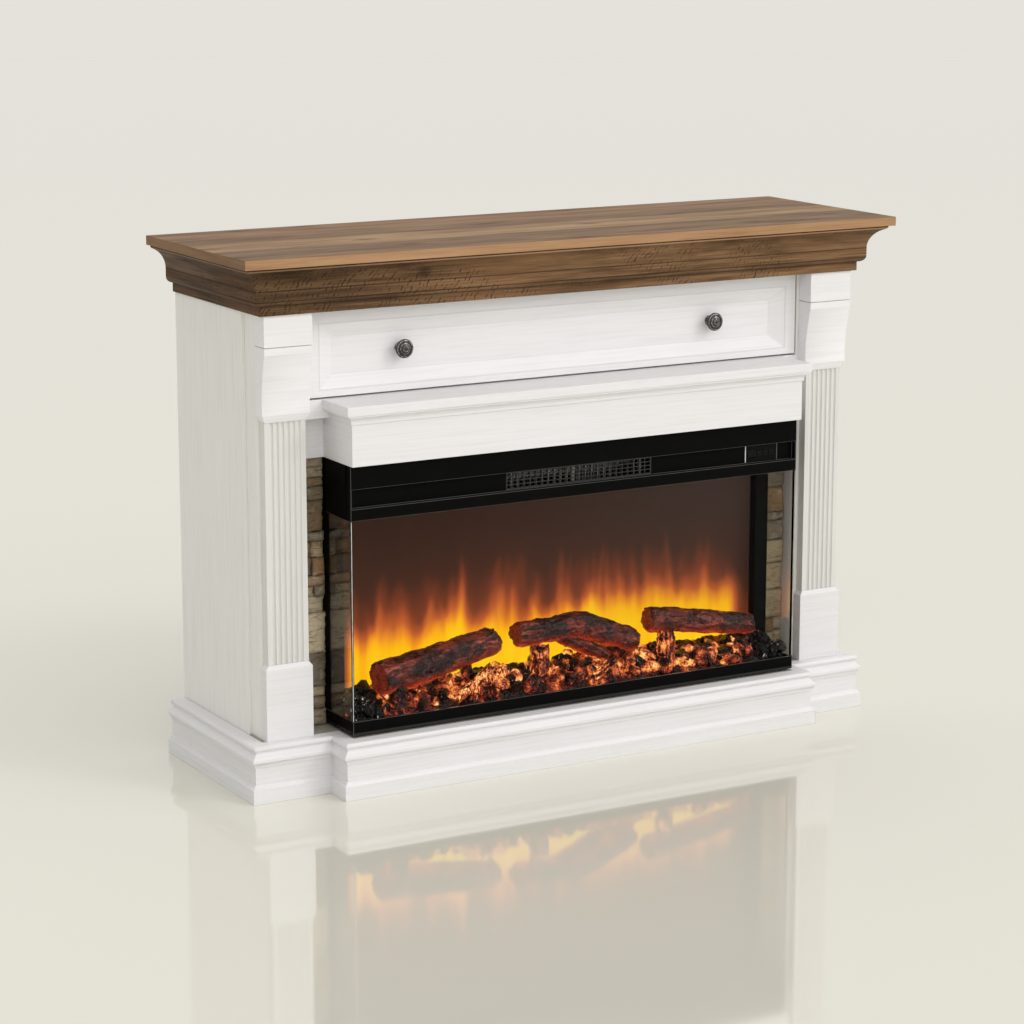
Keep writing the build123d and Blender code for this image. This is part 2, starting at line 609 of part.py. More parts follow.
def build_heater():
    wall = 1.5
    low, high = HEADER_BOTTOM + SHEET + 1, INSERT_TOP - SHEET - 1
    top = block(-DUCT_HALF, DUCT_HALF, -HEADER_BACK, -244, high - wall, high)
    bottom = block(-DUCT_HALF, DUCT_HALF, -HEADER_BACK, -240, low, low + wall)
    end = block(DUCT_HALF - wall, DUCT_HALF, -HEADER_BACK, -240, low + wall, high - wall)
    end = end - blower_rod(DUCT_HALF - 5, DUCT_HALF + 5, SHAFT / 2 + FIT)
    tongue = block(-DUCT_HALF + wall, DUCT_HALF - wall, -240 - wall, -240, low + wall, low + 22)
    add("heater_duct", top, bottom, end, flip(end), tongue)

    # Cross-flow wheel: three discs that carry a ring of narrow blades on one shaft.
    half = 130.0
    wheel = blower_rod(-DUCT_HALF - 1, DUCT_HALF + 16, SHAFT / 2)
    for x in (-half, -1.0, half - 2):
        wheel = wheel + blower_rod(x, x + 2, BLOWER_RADIUS)
    blades = 20
    for i in range(blades):
        blade = Pos(0, 0, BLOWER_RADIUS - 4.5) * Rot(35, 0, 0) * Box(2 * half, 0.9, 7.0)
        wheel = wheel + Pos(0, -BLOWER_DEPTH, BLOWER_Z) * Rot(i * 360 / blades, 0, 0) * blade
    add("blower_wheel", wheel)
    motor = blower_rod(DUCT_HALF + 4, DUCT_HALF + 40, 22)
    motor = motor - blower_rod(DUCT_HALF, DUCT_HALF + 18, SHAFT / 2 + FIT)
    foot = block(DUCT_HALF + 8, DUCT_HALF + 36, -BLOWER_DEPTH - 18, -BLOWER_DEPTH + 18, low, BLOWER_Z - 18)
    bridge = block(DUCT_HALF, DUCT_HALF + 8, -BLOWER_DEPTH - 18, -BLOWER_DEPTH + 18, low, low + 6)
    add("blower_motor", motor + foot + bridge)

    # Heating element: a mica frame with a zigzag ribbon between its rails.
    y0, y1 = -332.0, -318.0
    frame_low, frame_high = low + wall + 2, high - wall - 2
    element = block(-134, 134, y0, y1, frame_low, frame_low + 5)
    element = element + block(-134, 134, y0, y1, frame_high - 5, frame_high)
    ribbons = 23
    for i in range(ribbons):
        x = (i - (ribbons - 1) / 2) * 11.6
        thick = 2.5 if i % 11 == 0 else 0.8
        element = element + block(x - thick, x + thick, y0 + 4, y1 - 4, frame_low + 4, frame_high - 4)
    add("heating_element", element)


def build_gland():
    y = -INSERT_REAR
    neck = rod((GLAND_X, y - SHEET - 6, GLAND_Z), (GLAND_X, y, GLAND_Z), GLAND_NECK)
    flange = rod((GLAND_X, y, GLAND_Z), (GLAND_X, y + 3, GLAND_Z), 11.0)
    sleeve = rod((GLAND_X, y + 3, GLAND_Z), (GLAND_X, y + 14, GLAND_Z), 7.0, 5.6)
    gland = neck + flange + sleeve
    add("cord_gland", gland - rod((GLAND_X, y - 30, GLAND_Z), (GLAND_X, y + 30, GLAND_Z), CORD_RADIUS))


# ---- assembly -----------------------------------------------------------------------------------
build_crown()
build_carcass()
build_pilaster_dressings()
build_shelf()
build_base()
build_drawer()
build_case()
build_header()
build_controls()
build_flame_effect()
build_fuel_bed()
build_heater()
build_gland()

os.makedirs("parts", exist_ok=True)
to_centre = Pos(0, BASE_DEPTH / 2, 0)
for name, solids in nodes.items():
    placed = [to_centre * solid for solid in solids]
    bodies = [body for shape in placed for body in shape.solids()]
    shape = bodies[0] if len(bodies) == 1 else Compound(bodies)
    export_step(shape, f"parts/{name}.step")
print(len(nodes), "nodes")
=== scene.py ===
import math

import bmesh
import bpy
import numpy as np
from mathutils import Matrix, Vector


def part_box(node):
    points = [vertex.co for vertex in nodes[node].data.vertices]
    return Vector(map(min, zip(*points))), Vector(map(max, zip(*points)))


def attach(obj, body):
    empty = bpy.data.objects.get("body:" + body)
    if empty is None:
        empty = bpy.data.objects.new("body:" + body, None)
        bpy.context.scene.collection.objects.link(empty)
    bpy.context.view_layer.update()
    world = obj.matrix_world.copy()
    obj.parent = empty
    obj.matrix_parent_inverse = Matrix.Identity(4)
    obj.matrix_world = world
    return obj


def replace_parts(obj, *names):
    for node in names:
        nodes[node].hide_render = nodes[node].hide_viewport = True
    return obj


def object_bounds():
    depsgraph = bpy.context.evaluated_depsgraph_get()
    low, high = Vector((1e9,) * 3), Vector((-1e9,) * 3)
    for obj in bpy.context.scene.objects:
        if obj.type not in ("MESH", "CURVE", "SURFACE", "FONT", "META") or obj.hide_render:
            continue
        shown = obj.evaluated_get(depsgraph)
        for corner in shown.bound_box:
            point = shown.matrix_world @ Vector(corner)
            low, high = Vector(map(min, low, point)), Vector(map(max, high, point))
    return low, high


# Electric fireplace: looks, floor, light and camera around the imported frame. Lengths are metres.

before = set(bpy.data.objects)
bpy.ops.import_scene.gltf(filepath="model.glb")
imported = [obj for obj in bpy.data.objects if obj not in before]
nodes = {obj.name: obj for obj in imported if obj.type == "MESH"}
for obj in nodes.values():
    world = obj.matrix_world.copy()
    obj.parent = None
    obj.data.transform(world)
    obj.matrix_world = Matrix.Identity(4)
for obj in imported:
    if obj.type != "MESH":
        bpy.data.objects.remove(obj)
cad_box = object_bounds()
ROOT = "mantel"
MM = 0.001


# ---- small helpers ---------------------------------------
def tone(red, green, blue):
    """A colour given as 0-255 display values, as linear RGBA."""
    linear = []
    for value in (red, green, blue):
        value /= 255
        linear.append(value / 12.92 if value <= 0.04045 else ((value + 0.055) / 1.055) ** 2.4)
    return (*linear, 1.0)


def lattice_noise(points, scale, seed):
    """Smooth value noise from 0 to 1 at each point, with cells 1/scale across."""
    size = 32
    grid = np.random.default_rng(seed).random((size, size, size))
    p = np.asarray(points, float) * scale + 1000.0
    cell = np.floor(p).astype(int)
    f = p - cell
    f = f * f * (3 - 2 * f)
    value = 0.0
    for corner in np.ndindex(2, 2, 2):
        weight = np.ones(len(p))
        index = []
        for axis in range(3):
            weight = weight * (f[:, axis] if corner[axis] else 1 - f[:, axis])
            index.append((cell[:, axis] + corner[axis]) % size)
        value = value + weight * grid[tuple(index)]
    return value


def fractal(points, scale, seed, octaves=4):
    """Several octaves of lattice noise, about -1 to 1."""
    total, weight, share = 0.0, 0.0, 1.0
    for octave in range(octaves):
        total = total + share * (lattice_noise(points, scale * 2 ** octave, seed + octave) * 2 - 1)
        weight += share
        share *= 0.5
    return total / weight * 1.6


def smoothstep(low, high, value):
    t = np.clip((value - low) / (high - low), 0, 1)
    return t * t * (3 - 2 * t)


def put(name, data):
    """A new object in the scene."""
    thing = bpy.data.objects.new(name, data)
    bpy.context.scene.collection.objects.link(thing)
    return thing


def make_piece(name, vertices, faces, material, slot, body=ROOT, smooth=True, attributes=None):
    """A mesh object that rides on a body and takes the given material; the slot argument is not used."""
    mesh = bpy.data.meshes.new(name)
    mesh.from_pydata([tuple(v) for v in vertices], [], [tuple(f) for f in faces])
    mesh.update()
    for key, values in (attributes or {}).items():
        mesh.attributes.new(key, "FLOAT", "POINT").data.foreach_set("value", np.asarray(values, np.float32))
    piece = put(name, mesh)
    mesh.materials.append(material)
    if smooth:
        mesh.shade_smooth()
    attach(piece, body)
    return piece


class Meshes:
    """Collects many small meshes, with their vertex attributes, into one."""

    def __init__(self):
        self.vertices, self.faces, self.attributes, self.count = [], [], {}, 0

    def add(self, vertices, faces, **attributes):
        vertices = np.asarray(vertices, float)
        self.vertices.append(vertices)
        self.faces.extend(tuple(int(i) + self.count for i in face) for face in faces)
        for key, value in attributes.items():
            self.attributes.setdefault(key, []).append(np.broadcast_to(np.asarray(value, float), len(vertices)))
        self.count += len(vertices)

    def piece(self, name, material, slot, **settings):
        attributes = {key: np.concatenate(parts) for key, parts in self.attributes.items()}
        return make_piece(name, np.concatenate(self.vertices), self.faces, material, slot,
                          attributes=attributes, **settings)


# ---- node graphs -----------------------------------------
class Graph:
    """Short-hand for the node tree of one material, or of the world."""

    def __init__(self, name, library=bpy.data.materials):
        self.material = library.new(name)
        self.material.use_nodes = True
        self.tree = self.material.node_tree
        self.tree.nodes.clear()

    def node(self, kind, inputs=None, **settings):
        node = self.tree.nodes.new("ShaderNode" + kind)
        for key, value in settings.items():
            setattr(node, key, value)
        for key, value in (inputs or {}).items():
            socket = node.inputs[key]
            if isinstance(value, bpy.types.NodeSocket):
                self.tree.links.new(value, socket)
            else:
                socket.default_value = value
        return node

    def place(self, scale=(1, 1, 1), offset=(0, 0, 0)):
        """The position in the shared frame, stretched and moved."""
        coordinate = self.node("TexCoord").outputs["Object"]
        mapping = self.node("Mapping", {"Vector": coordinate, "Scale": scale, "Location": offset})
        return mapping.outputs["Vector"]

    def noise(self, vector, scale, detail=4.0, roughness=0.55, distortion=0.0):
        inputs = {"Vector": vector, "Scale": scale, "Detail": detail, "Roughness": roughness,
                  "Distortion": distortion}
        return self.node("TexNoise", inputs).outputs["Fac"]

    def voronoi(self, vector, scale, feature="F1"):
        inputs = {"Vector": vector, "Scale": scale}
        return self.node("TexVoronoi", inputs, feature=feature).outputs["Distance"]

    def attribute(self, name):
        return self.node("Attribute", attribute_name=name).outputs["Fac"]

    def normal(self):
        vector = self.node("NewGeometry").outputs["Normal"]
        return self.node("SeparateXYZ", {"Vector": vector}).outputs

    def position(self):
        return self.node("SeparateXYZ", {"Vector": self.place()}).outputs

    def math(self, operation, *values):
        return self.node("Math", dict(enumerate(values)), operation=operation).outputs[0]

    def add(self, a, b):
        return self.math("ADD", a, b)

    def minus(self, a, b):
        return self.math("SUBTRACT", a, b)

    def times(self, a, b):
        return self.math("MULTIPLY", a, b)

    def apart(self, a, b):
        """The distance between two values."""
        return self.math("ABSOLUTE", self.minus(a, b))

    def largest(self, first, *others):
        for other in others:
            first = self.math("MAXIMUM", first, other)
        return first

    def window(self, value, low, high, to_low=0.0, to_high=1.0):
        """A smooth step of value from low to high."""
        inputs = {"Value": value, "From Min": low, "From Max": high, "To Min": to_low, "To Max": to_high}
        node = self.node("MapRange", inputs, interpolation_type="SMOOTHSTEP")
        return node.outputs["Result"]

    def ramp(self, value, *stops):
        """A colour that follows a value, through (position, red, green, blue) stops."""
        node = self.node("ValToRGB", {"Fac": value})
        elements = node.color_ramp.elements
        while len(elements) < len(stops):
            elements.new(1.0)
        for element, (position, *colour) in zip(elements, stops):
            element.position = position
            element.color = tone(*colour)
        return node.outputs["Color"]

    def mix(self, factor, a, b, blend="MIX"):
        inputs = {0: factor, 6: a, 7: b}
        return self.node("Mix", inputs, data_type="RGBA", blend_type=blend).outputs[2]

    def bump(self, height, distance, strength):
        inputs = {"Height": height, "Distance": distance, "Strength": strength}
        return self.node("Bump", inputs).outputs["Normal"]

    def principled(self, **inputs):
        named = {key.replace("_", " "): value for key, value in inputs.items()}
        return self.node("BsdfPrincipled", named).outputs["BSDF"]

    def finish(self, shader):
        output = self.node("OutputMaterial", {"Surface": shader})
        output.is_active_output = True
        return self.material

    def rough(self, value, low, high):
        """Roughness that follows a noise between two values."""
        return self.window(value, 0.3, 0.7, low, high)

    def surface(self, colour, roughness, bump, specular=0.5, **inputs):
        """The finished material: one principled shader, with bump as (height, distance, strength)."""
        shader = self.principled(Base_Color=colour, Roughness=roughness, Normal=self.bump(*bump),
                                 Specular_IOR_Level=specular, **inputs)
        return self.finish(shader)


def along(axis, stretch):
    """Mapping scale for grain that runs along one axis."""
    return tuple(stretch if name == axis else 1.0 for name in "xyz")


# ---- wood finishes ---------------------------------------
def grain_vector(g, axis, stretch, offset=(0, 0, 0)):
    """Coordinates for grain that runs along one axis; "around" follows the run of a mitred moulding.

    The two directions across the grain are folded into one, so that the streaks stay whole where a
    face slants or turns.
    """
    fold = 0.6
    place = g.node("SeparateXYZ", {"Vector": g.place(offset=offset)}).outputs

    def combine(run, across, other):
        folded = g.add(across, g.times(other, fold))
        return g.node("CombineXYZ", {0: g.times(run, stretch), 2: folded}).outputs[0]

    x, y, z = place["X"], place["Y"], place["Z"]
    if axis == "z":
        return combine(z, x, y)
    if axis == "x":
        return combine(x, z, y)
    if axis == "y":
        return combine(y, z, x)
    sideways = g.math("GREATER_THAN", g.math("ABSOLUTE", g.normal()["X"]), 0.75)
    inputs = {0: sideways, 4: combine(x, z, y), 5: combine(y, z, x)}
    return g.node("Mix", inputs, data_type="VECTOR").outputs[1]


SUNK_PANEL_Z = 0.6906
# Outlines of the sunk panel: half width, half height, strength.
SUNK_PANEL_EDGES = ((0.4375, 0.0518, 0.26), (0.4100, 0.0298, 0.07))


def sunk_panel_lines(g, colour):
    """Soft shadow lines at the mouth and at the floor of the drawer's sunk panel."""
    place = g.position()
    x = g.math("ABSOLUTE", place["X"])
    z = g.apart(place["Z"], SUNK_PANEL_Z)
    for half_x, half_z, strength in SUNK_PANEL_EDGES:
        edge = g.largest(g.minus(x, half_x), g.minus(z, half_z))
        line = g.window(g.math("ABSOLUTE", edge), 0.0020, 0.0002)
        colour = g.mix(g.times(line, strength), colour, tone(166, 162, 154))
    return colour


def white_laminate(name, axis, level=1.0, lines=None):
    """White laminate with a faint printed and embossed wood grain; level is painted shade that dims the whole
    piece, lines draws on it.
    """
    g = Graph(f"white_laminate_{name}")
    streak = g.noise(grain_vector(g, axis, 0.030), 230, 5, 0.6)
    pores = g.noise(grain_vector(g, axis, 0.040, (3.1, 1.7, 0.4)), 700, 3, 0.6)
    broad = g.noise(grain_vector(g, axis, 0.12, (1.3, 0.2, 5.1)), 24, 3)
    colour = g.ramp(streak, (0.30, 233, 232, 229), (0.50, 239, 238, 236), (0.72, 242, 241, 239))
    hair = g.window(pores, 0.62, 0.76)
    colour = g.mix(g.times(hair, 0.15), colour, tone(208, 206, 200))
    patch = g.window(broad, 0.40, 0.72)
    colour = g.mix(g.times(patch, 0.10), colour, tone(226, 223, 216))
    if lines:
        colour = lines(g, colour)
    # painted light: a cooler tint on the front-facing pieces stands in for the colour of the key light on them
    blue = 0.99 if axis == "z" else 1.045       # the front faces read slightly cooler
    # painted shade: level darkens the whole piece to the brightness it takes in the light
    colour = g.mix(1.0, colour, (level, level, level * blue, 1.0), "MULTIPLY")
    height = g.minus(streak, g.times(hair, 0.5))
    return g.surface(colour, g.rough(streak, 0.50, 0.40), (height, 0.00022, 0.35), specular=0.3)


def wood_grain(g, axis, seed):
    """Streaky height of an oak print: long soft figure with fine fibres."""
    figure = g.noise(grain_vector(g, axis, 0.05, (seed, seed * 0.7, seed * 0.3)), 62, 7, 0.68, 0.35)
    fibre = g.noise(grain_vector(g, axis, 0.022, (0, seed, 0)), 420, 4, 0.65)
    return g.add(g.times(figure, 0.62), g.times(fibre, 0.38))


def knots(g, spacing, size, offset):
    """Sparse knots: 1 in a knot's heart, 0 away from it."""
    return g.window(g.voronoi(g.place(spacing, offset), 1.0), size, size * 0.15)


def oak_planks():
    """The top board: planks side by side that run the length of the board, and plain edge banding with painted
    shade on its ends.
    """
    g = Graph("oak_planks")
    low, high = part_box("top_board")
    place = g.position()
    wobble = g.noise(g.place((0.9, 3, 3)), 1.6, 2)
    depth = {"Value": place["Y"], "From Min": low.y, "From Max": high.y}
    across = g.node("MapRange", depth).outputs["Result"]
    across = g.add(across, g.times(g.minus(wobble, 0.5), 0.10))
    plank = g.ramp(across, (0.0, 140, 109, 79), (0.29, 134, 103, 75), (0.33, 170, 138, 102),
                   (0.53, 163, 130, 95), (0.57, 128, 98, 71), (0.70, 142, 110, 80), (0.80, 152, 118, 86),
                   (1.0, 144, 111, 80))
    value = wood_grain(g, "x", 2.0)
    grain = g.ramp(value, (0.36, 156, 143, 129), (0.47, 216, 210, 200), (0.60, 253, 251, 246))
    colour = g.mix(1.0, plank, grain, "MULTIPLY")
    long_streak = g.noise(grain_vector(g, "x", 0.04, (7, 3, 1)), 22, 4, 0.6)
    colour = g.mix(g.window(long_streak, 0.50, 0.72, 0.0, 0.45), colour, tone(96, 74, 56))
    knot = knots(g, (5.2, 17, 1), 0.20, (0.1, 0.35, 0))
    colour = g.mix(g.times(knot, 0.7), colour, tone(58, 43, 33))
    band_value = wood_grain(g, "around", 5.0)
    band = g.ramp(band_value, (0.36, 146, 110, 80), (0.48, 168, 130, 96), (0.62, 182, 145, 110))
    # painted shade: the banding on the board's end faces is darkened for the light they take
    end = g.window(g.math("ABSOLUTE", g.normal()["X"]), 0.5, 0.8, 1.0, 0.56)
    band = g.mix(1.0, band, end, "MULTIPLY")
    is_top = g.window(g.normal()["Z"], 0.3, 0.7)
    colour = g.mix(is_top, band, colour)
    return g.surface(colour, g.rough(value, 0.55, 0.42), (value, 0.0005, 0.5), specular=0.10)


# Heights on the crown: its pale rim, with wear and painted highlight, and the painted shadows in the fillet
# above and in the crease lines between the mouldings.
CROWN_RIM = 0.8405
CROWN_FILLET_SHADOW = (0.8416, 0.8424)
CROWN_CREASE_SHADOWS = (0.7825, 0.7895, 0.8060)


def crown_wood(name, axis, seed):
    """Rustic oak on the crown moulding: grain along its run, diagonal saw marks, an upper edge pale with wear
    and painted highlight, painted shadows in the fillet and crease lines, and painted shade.
    """
    g = Graph(f"crown_wood_{name}")
    value = wood_grain(g, axis, seed)
    colour = g.ramp(value, (0.34, 66, 47, 31), (0.45, 104, 77, 52), (0.53, 130, 99, 69),
                    (0.64, 160, 126, 92))
    patch = g.noise(g.place(along(axis, 0.3), (seed, 4, 2)), 9, 2)
    colour = g.mix(g.window(patch, 0.54, 0.68, 0.0, 0.5), colour, tone(146, 106, 73))
    place = g.position()
    run = place["X" if axis == "x" else "Y"]
    slant = g.minus(g.times(run, 700), g.times(place["Z"], 420))
    wobble = g.noise(g.place(), 40, 3)
    saw = g.math("SINE", g.add(slant, g.times(wobble, 14.0)))
    broken = g.noise(g.place(offset=(2, 8, 3)), 130, 2)
    saw = g.times(g.window(saw, 0.50, 0.92), g.window(broken, 0.46, 0.58))
    where = g.window(g.noise(g.place(along(axis, 0.5), (9, seed, 1)), 9, 2), 0.44, 0.54)
    saw = g.times(saw, where)
    colour = g.mix(g.times(saw, 0.85), colour, tone(42, 31, 24))
    knot = knots(g, (7.5, 7.5, 11.0), 0.15, (seed * 0.37, 0.2, 0.1))
    colour = g.mix(g.times(knot, 0.7), colour, tone(40, 29, 22))
    # painted highlight: the pale line at the rim is wear together with light caught on the fillet's edge
    worn_rim_highlight = g.window(g.apart(place["Z"], CROWN_RIM), 0.0016, 0.0006)
    colour = g.mix(g.times(worn_rim_highlight, 0.8), colour, tone(190, 154, 120))
    # painted shadows: dark lines in the fillet under the board and in the crease lines between the mouldings
    crease_shadows = [g.window(g.apart(place["Z"], height), 0.0016, 0.0004) for height in CROWN_CREASE_SHADOWS]
    dark = g.largest(g.window(place["Z"], *CROWN_FILLET_SHADOW), *crease_shadows)
    colour = g.mix(g.times(dark, 0.72), colour, tone(44, 33, 25))
    # painted shade: darker towards the left end of the front and on the side returns, for light that falls from
    # the right
    level = g.window(place["X"], -0.58, -0.02, 0.62, 1.0) if axis == "x" else (0.46, 0.42, 0.38, 1.0)
    colour = g.mix(1.0, colour, level, "MULTIPLY")
    height = g.minus(value, g.times(saw, 0.4))
    return g.surface(colour, g.rough(value, 0.60, 0.46), (height, 0.0006, 0.5), specular=0.12)


def board(name, light, dark, scale):
    """Chipboard, hardboard or another plain board with a speckle of fibres."""
    g = Graph(name)
    fibres = g.noise(g.place((1, 1, 0.4)), scale, 5, 0.7)
    chips = g.voronoi(g.place((1, 1, 0.5), (2, 1, 0)), scale * 0.5)
    value = g.add(g.times(fibres, 0.7), g.times(chips, 0.3))
    colour = g.ramp(value, (0.32, *dark), (0.62, *light))
    return g.surface(colour, g.rough(fibres, 0.85, 0.62), (value, 0.0004, 0.5))


# ---- metals, plastics, glass -----------------------------
def coated_metal(name, colour, shade, roughness, metallic=0.0, specular=0.3, grain=900.0, edge=0.0,
                 rear=None):
    """Powder-coated, moulded or plated surface: fine texture and faint dust.

    edge is how bright the bevelled edges are painted, a painted highlight with some wear, and rear is the
    colour of rearward faces.
    """
    g = Graph(name)
    fine = g.noise(g.place(), grain, 3, 0.6)
    dust = g.noise(g.place((1, 1, 1.4), (1, 2, 3)), 18, 4, 0.6)
    mixed = g.mix(g.window(dust, 0.45, 0.75, 0.0, 0.8), colour, shade)
    if rear:
        mixed = g.mix(g.window(g.normal()["Y"], 0.5, 0.8), mixed, rear)
    if edge:
        flattest = g.largest(*(g.math("ABSOLUTE", g.normal()[axis]) for axis in "XYZ"))
        rubbed_highlight = g.window(flattest, 0.985, 0.90, 0.0, edge)
        # painted highlight: the bevelled edges are lightened for the light they catch, with some wear
        mixed = g.mix(rubbed_highlight, mixed, tone(118, 117, 115))
    return g.surface(mixed, g.rough(dust, roughness, roughness + 0.14), (fine, 0.00008, 0.6),
                     Metallic=metallic, specular=specular)


def panel_plastic():
    """Black control panel with a painted highlight in a bright line at its left end and a fainter one at its
    right.
    """
    g = Graph("panel_plastic")
    low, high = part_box("control_panel")
    across = g.position()["X"]
    fine = g.noise(g.place(), 900, 3, 0.6)
    colour = g.mix(g.window(fine, 0.3, 0.7), tone(6, 6, 6), tone(12, 12, 12))
    # painted highlights: a pale line down each end edge, brighter at the left
    right = g.window(g.minus(high.x, across), 0.0018, 0.0012)
    colour = g.mix(right, colour, tone(92, 92, 91))
    left = g.window(g.minus(across, low.x), 0.0018, 0.0012)
    colour = g.mix(left, colour, tone(214, 214, 211))
    return g.surface(colour, g.rough(fine, 0.24, 0.36), (fine, 0.00008, 0.6), specular=0.06)


# The rings are pale with wear and with painted highlight: they stand for the light on the knob's ridges.
KNOB_RINGS = (4.2, 8.4, 13.2)       # radii of the rubbed rings in millimetres


def aged_knob(side):
    """Dark aged iron, pale with wear in spots, and in rings round the knob's axis that are also painted
    highlight.
    """
    g = Graph(f"aged_iron_{side}")
    low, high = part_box(f"knob_{side}")
    place = g.position()
    across = g.minus(place["X"], (low.x + high.x) / 2)
    upward = g.minus(place["Z"], (low.z + high.z) / 2)
    radius = g.math("SQRT", g.add(g.times(across, across), g.times(upward, upward)))
    wear = g.noise(g.place(), 260, 4, 0.7)
    # painted highlight: pale rings round the axis, with wear
    rubbed_highlight = g.largest(*(g.window(g.apart(radius, ring * MM), 0.0010, 0.0002) for ring in KNOB_RINGS))
    rubbed_highlight = g.times(rubbed_highlight, g.window(wear, 0.38, 0.60))
    colour = g.mix(rubbed_highlight, tone(20, 20, 20), tone(158, 156, 150))
    colour = g.mix(g.window(wear, 0.62, 0.78, 0.0, 0.5), colour, tone(84, 80, 74))
    return g.surface(colour, g.rough(wear, 0.16, 0.34), (wear, 0.00015, 0.6), Metallic=0.5,
                     specular=0.7, Coat_Weight=0.6, Coat_Roughness=0.08)


def glass(name, ior):
    """Clear panel that lets lamps through: a clean glass with faint smears in its gloss."""
    tint = (1, 1, 1, 1)
    g = Graph(name)
    smear = g.noise(g.place((1, 1, 0.3)), 9, 4, 0.6)
    clear = g.principled(Base_Color=tint, Roughness=g.window(smear, 0.45, 0.8, 0.0, 0.02), IOR=ior,
                         Transmission_Weight=1.0)
    through = g.node("BsdfTransparent", {"Color": tint}).outputs["BSDF"]
    is_shadow = g.node("LightPath").outputs["Is Shadow Ray"]
    mixed = g.node("MixShader", {0: is_shadow, 1: clear, 2: through}).outputs["Shader"]
    return g.finish(mixed)


def green_circuit():
    """Circuit board: pale tracks on a green lacquer."""
    g = Graph("green_circuit")
    tracks = g.voronoi(g.place((260, 1, 260)), 1.0, "DISTANCE_TO_EDGE")
    weave = g.noise(g.place(), 700, 2)
    colour = g.mix(g.window(tracks, 0.10, 0.05), tone(22, 92, 52), tone(48, 128, 74))
    colour = g.mix(g.window(weave, 0.5, 0.8, 0.0, 0.4), colour, tone(14, 60, 34))
    return g.surface(colour, g.rough(weave, 0.42, 0.3), (tracks, 0.0002, 0.3))


def heater_mica():
    """Ribbon element and its mica supports, flaked and streaked."""
    g = Graph("heater_mica")
    flake = g.voronoi(g.place((1, 1, 2)), 160)
    streak = g.noise(g.place((0.4, 1, 1)), 240, 4)
    colour = g.ramp(streak, (0.3, 104, 96, 86), (0.7, 172, 160, 142))
    colour = g.mix(g.window(flake, 0.2, 0.6, 0.0, 0.4), colour, tone(206, 196, 176))
    return g.surface(colour, 0.45, (flake, 0.0002, 0.4), Metallic=0.4)


LIGHT_PITCH = 0.031


def light_strip():
    """Light strip: warm light from each cell, a dim substrate between them."""
    g = Graph("light_strip")
    cell = g.math("SINE", g.times(g.position()["X"], 2 * math.pi / LIGHT_PITCH))
    lit = g.window(cell, 0.4, 0.9)
    fine = g.noise(g.place(), 600, 2)
    colour = g.mix(g.times(fine, 0.5), tone(214, 208, 190), tone(172, 166, 150))
    shader = g.principled(Base_Color=colour, Roughness=g.rough(fine, 0.5, 0.35),
                          Emission_Color=tone(255, 146, 48), Emission_Strength=g.times(lit, 2.5))
    return g.finish(shader)


# ---- stone -----------------------------------------------
def ledgestone():
    """Split stone: each block has its own tint, with strata, pits and rust stains."""
    g = Graph("ledgestone")
    tint = g.attribute("tint")
    shade = g.attribute("shade")
    colour = g.ramp(tint, (0.0, 176, 156, 122), (0.22, 196, 177, 142), (0.40, 146, 136, 118),
                    (0.56, 168, 132, 90), (0.72, 128, 118, 104), (0.86, 206, 190, 160), (1.0, 142, 108, 74))
    strata = g.noise(g.place((0.30, 1, 1.8)), 120, 6, 0.74, 0.8)
    blotch = g.noise(g.place(offset=(4, 2, 0)), 46, 4, 0.6)
    pits = g.noise(g.place(), 520, 3, 0.65)
    colour = g.mix(g.window(strata, 0.50, 0.66, 0.0, 0.70), colour, tone(88, 68, 48))
    colour = g.mix(g.window(blotch, 0.56, 0.72, 0.0, 0.6), colour, tone(150, 108, 66))
    colour = g.mix(g.window(blotch, 0.44, 0.30, 0.0, 0.5), colour, tone(198, 188, 168))
    colour = g.mix(g.window(pits, 0.58, 0.75, 0.0, 0.5), colour, tone(70, 60, 48))
    # painted shade: the shade attribute darkens each stone towards its edges and on its sides
    dark = g.node("CombineColor", {"Red": shade, "Green": shade, "Blue": shade}).outputs["Color"]
    colour = g.mix(1.0, colour, dark, "MULTIPLY")
    height = g.add(g.times(strata, 0.6), g.times(pits, 0.4))
    return g.surface(colour, g.rough(pits, 0.92, 0.74), (height, 0.0050, 1.0), specular=0.3)


STONE_INNER = 0.419                 # half the distance between the two panels
COURSES = [0.016, 0.028, 0.036, 0.044, 0.054, 0.060]
CLEAR = 0.0005                      # left free inside the CAD box
JOINT = 0.0003                      # half the gap between neighbouring stones
SPLIT_EDGE, SPLIT_JOINT = 0.0006, 0.0005        # the same where one stone is split in two rows
MORTAR_DEPTH = 0.0135


